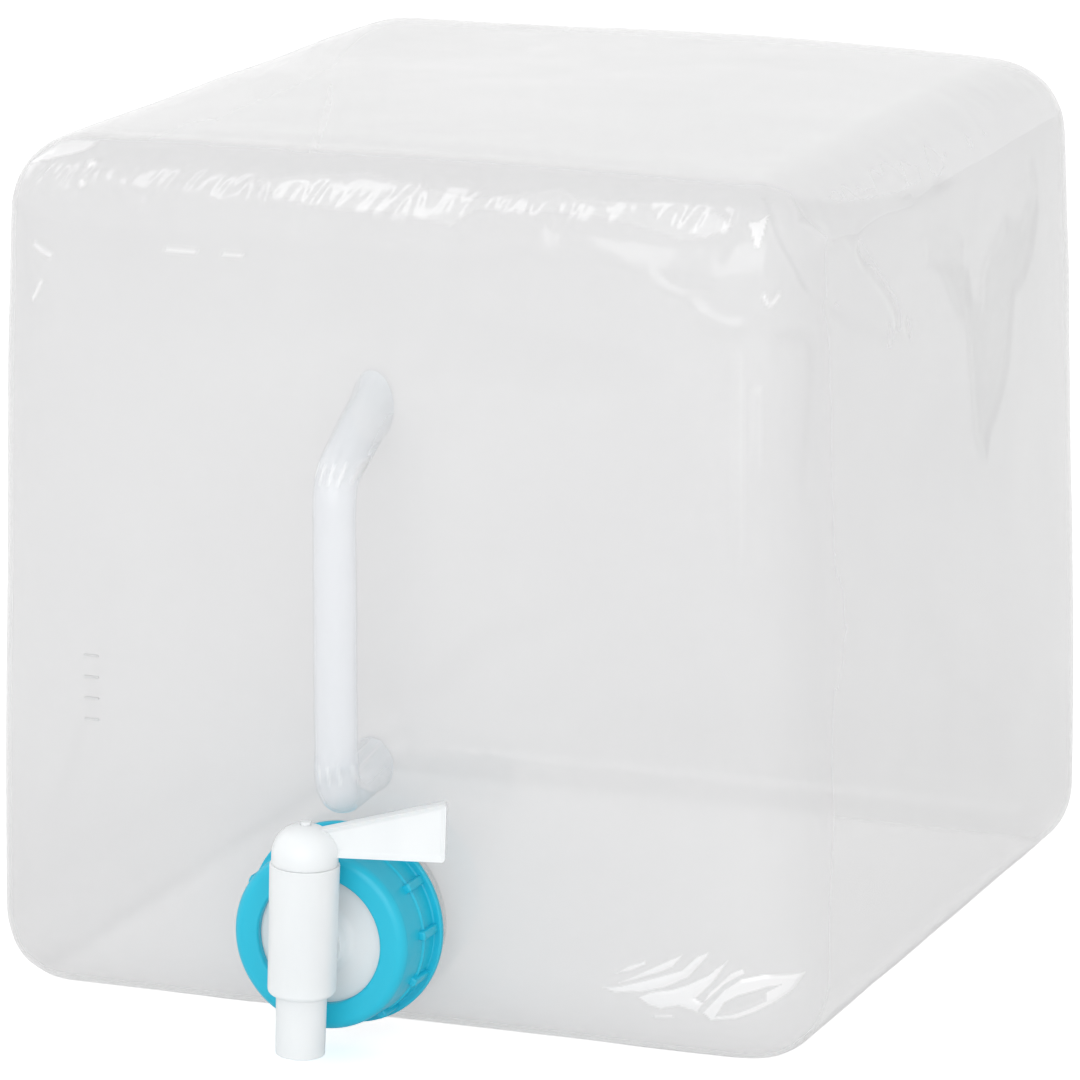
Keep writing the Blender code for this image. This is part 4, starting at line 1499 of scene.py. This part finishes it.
    def handle_circle(self, point: Vector, ahead: Vector, route: list[Vector]) -> Matrix:
        """Gives one circle of the handle's tube, which widens and turns upright towards the bag.

        Args:
            point: The circle's middle, as (Y, Z).
            ahead: The way that the tube runs there, as (Y, Z).
            route: The handle's middle line.

        Returns:
            The circle's place, turn and size.
        """
        heading = Vector((0, ahead.x, ahead.y)).normalized()
        upper = point.y > (self.handle_bottom + self.handle_top) / 2
        root = route[-1].x if upper else route[0].x
        share = max(0.0, (point.x - self.bar_y) / (root - self.bar_y))
        growth = self.top_growth if upper else self.bottom_growth
        flare = 1 + self.root_flare * max(0.0, (share - self.flare_from) / self.flare_over) ** 2
        side = Vector((1, 0, 0))
        upright = Vector((0, 0, -math.copysign(1, heading.y)))
        turn = eased(clamped((share - self.turn_from) / self.turn_over))
        around = heading.cross(side).lerp(upright, turn).normalized()
        circle = Matrix.Identity(4)
        circle.col[0] = (*(side * self.handle_radius * flare), 0)
        circle.col[1] = (*(around * self.handle_radius * (1 + (growth - 1) * share) * flare), 0)
        circle.col[2] = (*heading, 0)
        circle.col[3] = (self.handle_x, point.x, point.y, 1)
        return circle

    def handle_surface(self, place: Vector) -> Pair:
        """Works out how far the handle's wall stands out at a place and its painted light.

        Args:
            place: A place on the tube, in metres.

        Returns:
            The distance outwards, in metres, and the painted light: the painted teal reflection of the ring
            under the lower bend, painted shade on the legs and painted highlight on the fold tops.
        """
        moved = self.wave_height * noise.noise(place * self.wave_cells)
        # Painted reflection of the teal ring under the lower bend.
        painted_tone = clamped((self.handle_bottom - self.under_drop - place.z) / self.under_fade)
        # Painted shade on the legs near the roots.
        painted_tone += self.leg_shade * clamped((place.y - self.bar_y - self.leg_from) / self.leg_fade)
        for folds in self.bend_folds:
            near = math.exp(-(((place.z - folds.height) / folds.reach) ** 4))
            fold = near * math.sin(place.x * folds.lines - place.z * folds.slant)
            moved += self.wave_height * fold
            # Painted highlight on the fold tops.
            painted_tone -= folds.pale * max(0.0, fold - self.crest)
        return moved, painted_tone

    def handle(self) -> bpy.types.Object:
        """Builds the hollow handle, with the soft folds at its bends.

        Returns:
            The handle.
        """
        route = self.handle_route()
        circles = []
        for index, point in enumerate(route):
            ahead = route[min(index + 1, len(route) - 1)] - route[max(index - 1, 0)]
            circles.append(self.handle_circle(point, ahead, route))
        handle = finished("carry_handle_tube", swept(circles, self.handle_sides, closed_ends=False))
        shades = []
        for vert in handle.data.vertices:
            moved, painted_tone = self.handle_surface(vert.co)
            shades.append(painted_tone)
            place = vert.co + vert.normal * moved
            film = self.form.front_at(place.x, place.z)
            vert.co = (place.x, min(place.y, film + self.root_proud), place.z)
        # Stores the handle's painted reflection, painted shade and painted highlight.
        store_film(handle.data, np.array(shades), np.full(len(shades), HANDLE_PLASTIC.cover))
        dressed(handle, HANDLE_PLASTIC.material())
        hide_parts("carry_handle")
        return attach(handle, "bag")

    def level_ticks(self, skin: bpy.types.Object) -> bpy.types.Object:
        """Builds the four short moulded ribs that mark levels at the left of the front face.

        Args:
            skin: The bag's skin, which they stand on.

        Returns:
            The ticks, as one piece.
        """
        points = [vert.co.copy() for vert in skin.data.vertices]
        tree = BVHTree.FromPolygons(points, [face.vertices[:] for face in skin.data.polygons])
        ticks = bmesh.new()
        for level in self.tick_levels:
            hit = tree.ray_cast(Vector((self.tick_x, self.bar_y, level)), Vector((0, 1, 0)))[0]
            place = Matrix.Translation(hit) @ Matrix.Diagonal((*self.tick_size, 1))
            bmesh.ops.create_cube(ticks, size=1, matrix=place)
        rounded(ticks, self.tick_round, 2)
        piece = dressed(finished("level_ticks", ticks), TICK_FILM.material())
        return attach(piece, "bag")


# Closure


@dataclass
class ScrewRing:
    """The teal ring that clamps the tap on the neck."""

    centre_x: float = -0.008
    centre_z: float = 0.0405
    front: float = 0.1843
    depth: float = 0.024
    hole: float = 0.0206
    lip: float = 0.0026
    cavity: float = 0.0281
    wall: float = 0.0021
    set_in: float = 0.0009
    shoulder: float = 0.0032
    rim_height: float = 0.0027
    rim_width: float = 0.0022
    rib_count: int = 12
    rib_length: float = 0.0108
    rib_width: float = 0.0029
    rib_height: float = 0.0015
    rib_phase: float = math.radians(3)
    rib_sunk: float = 0.0020
    rib_round: float = 0.0007
    mouth_chamfer: float = 0.0005
    rim_round: float = 0.0007
    rim_root: float = 0.0006
    lip_round: float = 0.0009
    lip_land: float = 0.0030
    thread_start: float = 0.0047

    def build(self) -> bpy.types.Object:
        """Builds the ring with its ribs and its inner thread.

        Returns:
            The ring.
        """
        outer = self.cavity + self.wall
        rim = outer + self.rim_height
        face = outer - self.set_in
        inner = self.depth - self.lip
        edge, top = self.rim_round, self.rim_width
        outline = [(self.cavity, self.mouth_chamfer), (self.cavity + self.mouth_chamfer, 0)]
        outline += arc((rim - edge, edge), edge, -90, 0, 5)
        outline += arc((rim - edge, top - edge), edge, 0, 90, 5)
        outline += arc((outer + self.rim_root, top + self.rim_root), self.rim_root, 270, 180, 5)
        outline += arc((face - self.shoulder, self.depth - self.shoulder), self.shoulder, 2, 90, 14)
        outline += [(self.hole + self.lip_land, self.depth)]
        outline += arc((self.hole + self.lip_round, self.depth - self.lip_round), self.lip_round, 90, 180, 6)
        outline += [(self.hole, inner), (self.cavity, inner)]
        ring = finished("teal_screw_ring", turned(outline, 180))
        ribs = finished("grip_ribs", self.ribs(outer))
        thread = finished("ring_thread", THREAD.rib(self.cavity + THREAD.sunk, self.thread_start))
        combined(ring, ribs, thread)
        outward = Matrix.Translation((self.centre_x, -self.front + self.depth, self.centre_z))
        placed(ring, outward @ Z_TO_FRONT)
        evened(dressed(ring, TEAL.material()))
        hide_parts("screw_ring")
        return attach(ring, "ring")

    def ribs(self, outer: float) -> bmesh.types.BMesh:
        """Builds the short grip ribs in front of the rear rim.

        Args:
            outer: The wall's outer radius, in metres.

        Returns:
            The ribs, as one bmesh.
        """
        ribs = bmesh.new()
        low, high = outer - self.rib_sunk, outer + self.rib_height
        back, front = self.rim_width / 2, self.rim_width + self.rib_length
        for index in range(self.rib_count):
            turn = Matrix.Rotation(self.rib_phase + math.tau * index / self.rib_count, 4, "Z")
            size = Matrix.Diagonal((high - low, self.rib_width, front - back, 1))
            place = turn @ Matrix.Translation(((low + high) / 2, 0, (front + back) / 2)) @ size
            bmesh.ops.create_cube(ribs, size=1, matrix=place)
        rounded(ribs, self.rib_round, 4)
        return ribs


@dataclass
class Tap:
    """The white tap: its moulded body and the lever that turns its plug."""

    axis_x: float = -0.008
    axis_y: float = -0.1968
    axis_z: float = 0.0405
    lean: float = math.radians(2)
    barrel_radius: float = 0.0110
    bore_radius: float = 0.0092
    rise: float = 0.0288
    drop: float = 0.0118
    spout_drop: float = 0.0333
    spout_radius: float = 0.0080
    spout_bore: float = 0.0062
    flange_back: float = -0.0176
    flange_front: float = -0.0154
    flange_radius: float = 0.0261
    inlet_radius: float = 0.0088
    inlet_bore: float = 0.0058
    lever_angle: float = math.radians(18)
    knob_base: float = 0.0291
    knob_height: float = 0.0124
    knob_radius: float = 0.0105
    wing_length: float = 0.0438
    wing_foot: float = 0.0026
    wing_root: float = 0.0082
    wing_end: float = 0.0190
    wing_thickness: float = 0.0048
    web_thickness: float = 0.0018
    rim: float = 0.0016
    end_radius: float = 0.0012
    dome_height: float = 0.0098
    seam_fill: float = 0.00026
    edge_round: float = 0.0003
    barrel_chamfer: float = 0.0018
    barrel_floor: float = 0.0022
    spout_root: float = 0.0008
    spout_gap: float = 0.0006
    spout_taper: float = 0.0002
    spout_round: float = 0.0004
    dish_radius: float = 0.0194
    dish_slope: float = 0.0010
    dish_depth: float = 0.0007
    inlet_root: float = 0.0030
    inlet_sunk: float = 0.0002
    way_end: float = 0.0012
    overcut: float = 0.0020
    wing_start: float = 0.0030
    seat_round: float = 0.0002
    dome_power: float = 0.86
    socket_size: Triple = (0.0067, 0.0067, 0.0131)
    socket_middle: float = 0.0033
    pip_radius: float = 0.00175

    def frame(self) -> Matrix:
        """Gives the barrel's own frame, which hangs a little out of plumb."""
        middle = Matrix.Translation((self.axis_x, self.axis_y, self.axis_z))
        return middle @ Matrix.Rotation(self.lean, 4, "Y")

    def body(self) -> bpy.types.Object:
        """Builds flange, inlet, barrel and spout as one moulding.

        Returns:
            The tap's body.
        """
        edge, chamfer, root = self.edge_round, self.barrel_chamfer, self.spout_root
        side, floor = self.barrel_radius - edge, -self.drop + self.barrel_floor
        tip = self.spout_radius - self.spout_taper - self.spout_round
        outline = [(self.bore_radius, self.rise)]
        outline += arc((side, self.rise - edge), edge, 90, 0, 3)
        outline += arc((side - chamfer, -self.drop), chamfer, 0, -70, 6)
        outline += arc((self.spout_radius + root, -self.drop - chamfer - self.spout_gap), root, 90, 180, 4)
        outline += arc((tip, -self.spout_drop + self.spout_round), self.spout_round, 0, -90, 3)
        outline += arc((self.spout_bore + edge, -self.spout_drop + edge), edge, 270, 180, 2)
        outline += [(self.spout_bore, floor), (self.bore_radius, floor)]
        barrel = finished("white_tap_body", turned(outline, 96))
        dish, end = self.flange_front - self.dish_depth, -self.bore_radius - self.inlet_sunk
        inlet = [(self.inlet_bore, self.flange_back), (self.flange_radius, self.flange_back)]
        inlet += [(self.flange_radius, self.flange_front), (self.dish_radius, self.flange_front)]
        inlet += [(self.dish_radius - self.dish_slope, dish)]
        fillet = self.inlet_root
        inlet += arc((self.inlet_radius + fillet, dish + fillet), fillet, 270, 180, 8)
        inlet += [(self.inlet_radius, end), (self.inlet_bore, end)]
        pipe = finished("tap_inlet", turned(inlet, 96))
        placed(pipe, Z_TO_FRONT)
        combined(barrel, pipe)
        start, stop = self.flange_back - self.overcut, -self.bore_radius + self.way_end
        hollow = [(0, start), (self.inlet_bore, start), (self.inlet_bore, stop), (0, stop)]
        way = finished("inlet_way", turned(hollow, 64))
        placed(way, Z_TO_FRONT)
        combined(barrel, way, operation="DIFFERENCE")
        placed(barrel, self.frame())
        evened(dressed(barrel, WHITE.material()))
        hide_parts("tap_body")
        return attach(barrel, "tap")

    def wing(self) -> bpy.types.Object:
        """Builds the lever's flat wing, with a rim round a thinner web on both faces.

        Returns:
            The wing.
        """
        shape = bmesh.new()
        start, end = self.wing_start, self.wing_length
        foot = self.knob_base + self.wing_foot
        corners = ((start, 0), (end, 0), (end, self.wing_end), (start, self.wing_root))
        points = [shape.verts.new((reach, -self.wing_thickness / 2, foot + up)) for reach, up in corners]
        block = bmesh.ops.extrude_face_region(shape, geom=[shape.faces.new(points)])["geom"]
        moved = [item for item in block if isinstance(item, bmesh.types.BMVert)]
        bmesh.ops.translate(shape, verts=moved, vec=(0, self.wing_thickness, 0))
        bmesh.ops.recalc_face_normals(shape, faces=shape.faces)
        webs = [face for face in shape.faces if abs(face.normal.y) > 0.9]
        bmesh.ops.inset_region(shape, faces=webs, thickness=self.rim, use_even_offset=True)
        sunk = (self.wing_thickness - self.web_thickness) / 2
        for face in webs:
            bmesh.ops.translate(shape, verts=face.verts[:], vec=(0, -math.copysign(sunk, face.normal.y), 0))

        def at_end(edge: bmesh.types.BMEdge) -> bool:
            """Says whether an edge lies on the wing's far end."""
            return all(vert.co.x > end - WELD for vert in edge.verts)

        outer = [edge for edge in shape.edges if at_end(edge) and edge.calc_length() > 0.9 * self.rim]
        across = [edge for edge in outer if abs(edge.verts[0].co.y - edge.verts[1].co.y) > WELD]
        rounded(shape, self.end_radius, 5, across)
        sharp = [edge for edge in shape.edges if edge.calc_face_angle(0) > math.radians(30)]
        rounded(shape, self.edge_round, 2, sharp)
        return finished("lever_wing", shape)

    def lever(self) -> bpy.types.Object:
        """Builds the domed knob with its wing and the square socket in its foot.

        Returns:
            The lever.
        """
        top = self.knob_base + self.knob_height
        waist = top - self.dome_height
        seat = self.knob_base - self.seam_fill
        edge = self.seat_round
        outline = [(0, seat), *arc((self.knob_radius - edge, seat + edge), edge, -90, 0, 2)]
        for across, up in arc((0, 0), 1.0, 0, 90, 24)[:-1]:
            outline.append((self.knob_radius * across**self.dome_power, waist + self.dome_height * up))
        outline += [(0, top)]
        lever = finished("white_tap_lever", turned(outline, 96))
        combined(lever, self.wing())
        socket = bmesh.new()
        middle = Matrix.Translation((0, 0, self.knob_base + self.socket_middle))
        bmesh.ops.create_cube(socket, size=1, matrix=middle @ Matrix.Diagonal((*self.socket_size, 1)))
        low, high = self.knob_base, top + self.overcut
        pip_hole = turned([(0, low), (self.pip_radius, low), (self.pip_radius, high), (0, high)], 32)
        cutters = (finished("socket", socket), finished("pip_hole", pip_hole))
        combined(lever, *cutters, operation="DIFFERENCE")
        placed(lever, self.frame() @ Matrix.Rotation(self.lever_angle, 4, "Z"))
        evened(dressed(lever, WHITE.material()))
        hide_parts("tap_lever")
        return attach(lever, "valve")

    def inner_pieces(self) -> None:
        """Gives the plug, its seal and the gasket, which keep their shapes, their finishes."""
        white, rubber = WHITE.material(), RUBBER.material()
        for name, material in (("valve_plug", white), ("plug_seal", rubber), ("neck_gasket", rubber)):
            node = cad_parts[name]
            node.data.materials.clear()
            node.data.materials.append(material)


# Studio


@dataclass
class Studio:
    """The camera, the soft lights and the white floor."""

    lens: float = 254.0
    azimuth: float = 21.33
    elevation: float = 13.77
    roll: float = -0.09
    distance: float = 2.5342
    target: Triple = (-0.0051, 0.0, 0.128)
    world_low: float = 0.90
    world_high: float = 0.86
    bright_side: Triple = (-0.4, -0.5, 0.75)
    floor_size: float = 30.0
    floor_gap: float = 0.0003
    floor_grey: float = 0.88
    floor_glow: float = 0.60
    sensor: float = 36.0
    view_end: float = 60.0
    lamp_distance: float = 2.2

    def direction(self, azimuth: float, elevation: float) -> Vector:
        """Gives the direction towards a place round the object, in degrees from -Y and from the horizon."""
        turn, tilt = math.radians(azimuth), math.radians(elevation)
        return Vector((math.sin(turn) * math.cos(tilt), -math.cos(turn) * math.cos(tilt), math.sin(tilt)))

    def camera(self) -> None:
        """Sets the camera where the photograph was taken from."""
        data = bpy.data.cameras.new("studio_camera")
        data.lens = self.lens
        data.sensor_width = self.sensor
        data.sensor_fit = "HORIZONTAL"
        data.clip_end = self.view_end
        camera = bpy.data.objects.new("studio_camera", data)
        back = self.direction(self.azimuth, self.elevation)
        camera.location = Vector(self.target) + back * self.distance
        turn = (-back).to_track_quat("-Z", "Y").to_matrix().to_4x4()
        camera.rotation_euler = (turn @ Matrix.Rotation(math.radians(self.roll), 4, "Z")).to_euler()
        bpy.context.scene.collection.objects.link(camera)
        bpy.context.scene.camera = camera

    def world(self) -> None:
        """Makes the room's even light, with a background that shows white."""
        world = bpy.data.worlds.new("studio_world")
        world.use_nodes = True
        tree = world.node_tree
        back = tree.nodes["Background"]
        back.inputs["Color"].default_value = (1.0, 1.0, 1.0, 1.0)
        heading = tree.nodes.new("ShaderNodeTexCoord").outputs["Generated"]
        towards = tree.nodes.new("ShaderNodeVectorMath")
        towards.operation = "DOT_PRODUCT"
        towards.inputs[1].default_value = Vector(self.bright_side).normalized()
        tree.links.new(heading, towards.inputs[0])
        even = tree.nodes.new("ShaderNodeMapRange")
        even.inputs["From Min"].default_value = -1.0
        even.inputs["To Min"].default_value = self.world_low
        even.inputs["To Max"].default_value = self.world_high
        tree.links.new(towards.outputs["Value"], even.inputs["Value"])
        path = tree.nodes.new("ShaderNodeLightPath")
        seen = tree.nodes.new("ShaderNodeMath")
        seen.operation = "MAXIMUM"
        tree.links.new(path.outputs["Is Camera Ray"], seen.inputs[0])
        tree.links.new(path.outputs["Is Glossy Ray"], seen.inputs[1])
        strength = tree.nodes.new("ShaderNodeMapRange")
        tree.links.new(even.outputs["Result"], strength.inputs["To Min"])
        tree.links.new(seen.outputs["Value"], strength.inputs["Value"])
        tree.links.new(strength.outputs["Result"], back.inputs["Strength"])
        bpy.context.scene.world = world

    def softbox(self, name: str, azimuth: float, elevation: float, size: Pair, radiance: float) -> None:
        """Hangs one soft light that faces the object.

        Args:
            name: The lamp's name.
            azimuth: Degrees round from -Y, positive to the right.
            elevation: Degrees above the floor.
            size: Width and height in metres.
            radiance: Brightness of its surface.
        """
        data = bpy.data.lights.new(name, "AREA")
        data.shape = "RECTANGLE"
        data.size, data.size_y = size
        data.energy = radiance * math.pi * size[0] * size[1]
        lamp = bpy.data.objects.new(name, data)
        towards = self.direction(azimuth, elevation)
        lamp.location = Vector(self.target) + towards * self.lamp_distance
        lamp.rotation_euler = towards.to_track_quat("Z", "Y").to_euler()
        bpy.context.scene.collection.objects.link(lamp)

    def floor(self) -> None:
        """Lays the white floor, which keeps the object's shadow."""
        shape = bmesh.new()
        bmesh.ops.create_grid(shape, x_segments=1, y_segments=1, size=self.floor_size / 2)
        floor = finished("studio_floor", shape)
        placed(floor, Matrix.Translation((0, 0, -self.floor_gap)))
        material = bpy.data.materials.new("studio_floor")
        material.use_nodes = True
        tree = material.node_tree
        shader = tree.nodes["Principled BSDF"]
        shader.inputs["Base Color"].default_value = (*[self.floor_grey] * 3, 1.0)
        shader.inputs["Roughness"].default_value = 0.9
        shader.inputs["Specular IOR Level"].default_value = 0.0
        path = tree.nodes.new("ShaderNodeLightPath")
        glow = tree.nodes.new("ShaderNodeEmission")
        glow.inputs["Color"].default_value = (1.0, 1.0, 1.0, 1.0)
        share = tree.nodes.new("ShaderNodeMapRange")
        share.inputs["To Max"].default_value = self.floor_glow
        tree.links.new(path.outputs["Is Camera Ray"], share.inputs["Value"])
        tree.links.new(share.outputs["Result"], glow.inputs["Strength"])
        both = tree.nodes.new("ShaderNodeAddShader")
        tree.links.new(shader.outputs["BSDF"], both.inputs[0])
        tree.links.new(glow.outputs["Emission"], both.inputs[1])
        tree.links.new(both.outputs["Shader"], tree.nodes["Material Output"].inputs["Surface"])
        floor.data.materials.append(material)

    def build(self) -> None:
        """Sets up the whole studio."""
        self.camera()
        self.world()
        self.floor()
        self.softbox("key_softbox", -35.5, 55, (0.36, 0.7), 2.6)
        self.softbox("front_softbox", 12, 16, (2.0, 1.4), 1.5)
        self.softbox("left_softbox", -104, 30, (0.8, 0.9), 1.2)
        self.softbox("right_softbox", 70, 45, (0.6, 0.6), 0.5)
        bpy.context.scene.view_settings.view_transform = "Standard"


def main() -> None:
    """Builds the studio and every piece, in order."""
    logging.basicConfig(level=logging.INFO, format="%(message)s")
    Studio().build()
    bag = Bag()
    skin = bag.skin()
    made = [skin, bag.neck(), bag.handle(), bag.level_ticks(skin), ScrewRing().build()]
    tap = Tap()
    made += [tap.body(), tap.lever()]
    tap.inner_pieces()
    for piece in made:
        LOG.info("%s: %d faces", piece.name, len(piece.data.polygons))


if __name__ == "__main__":
    main()
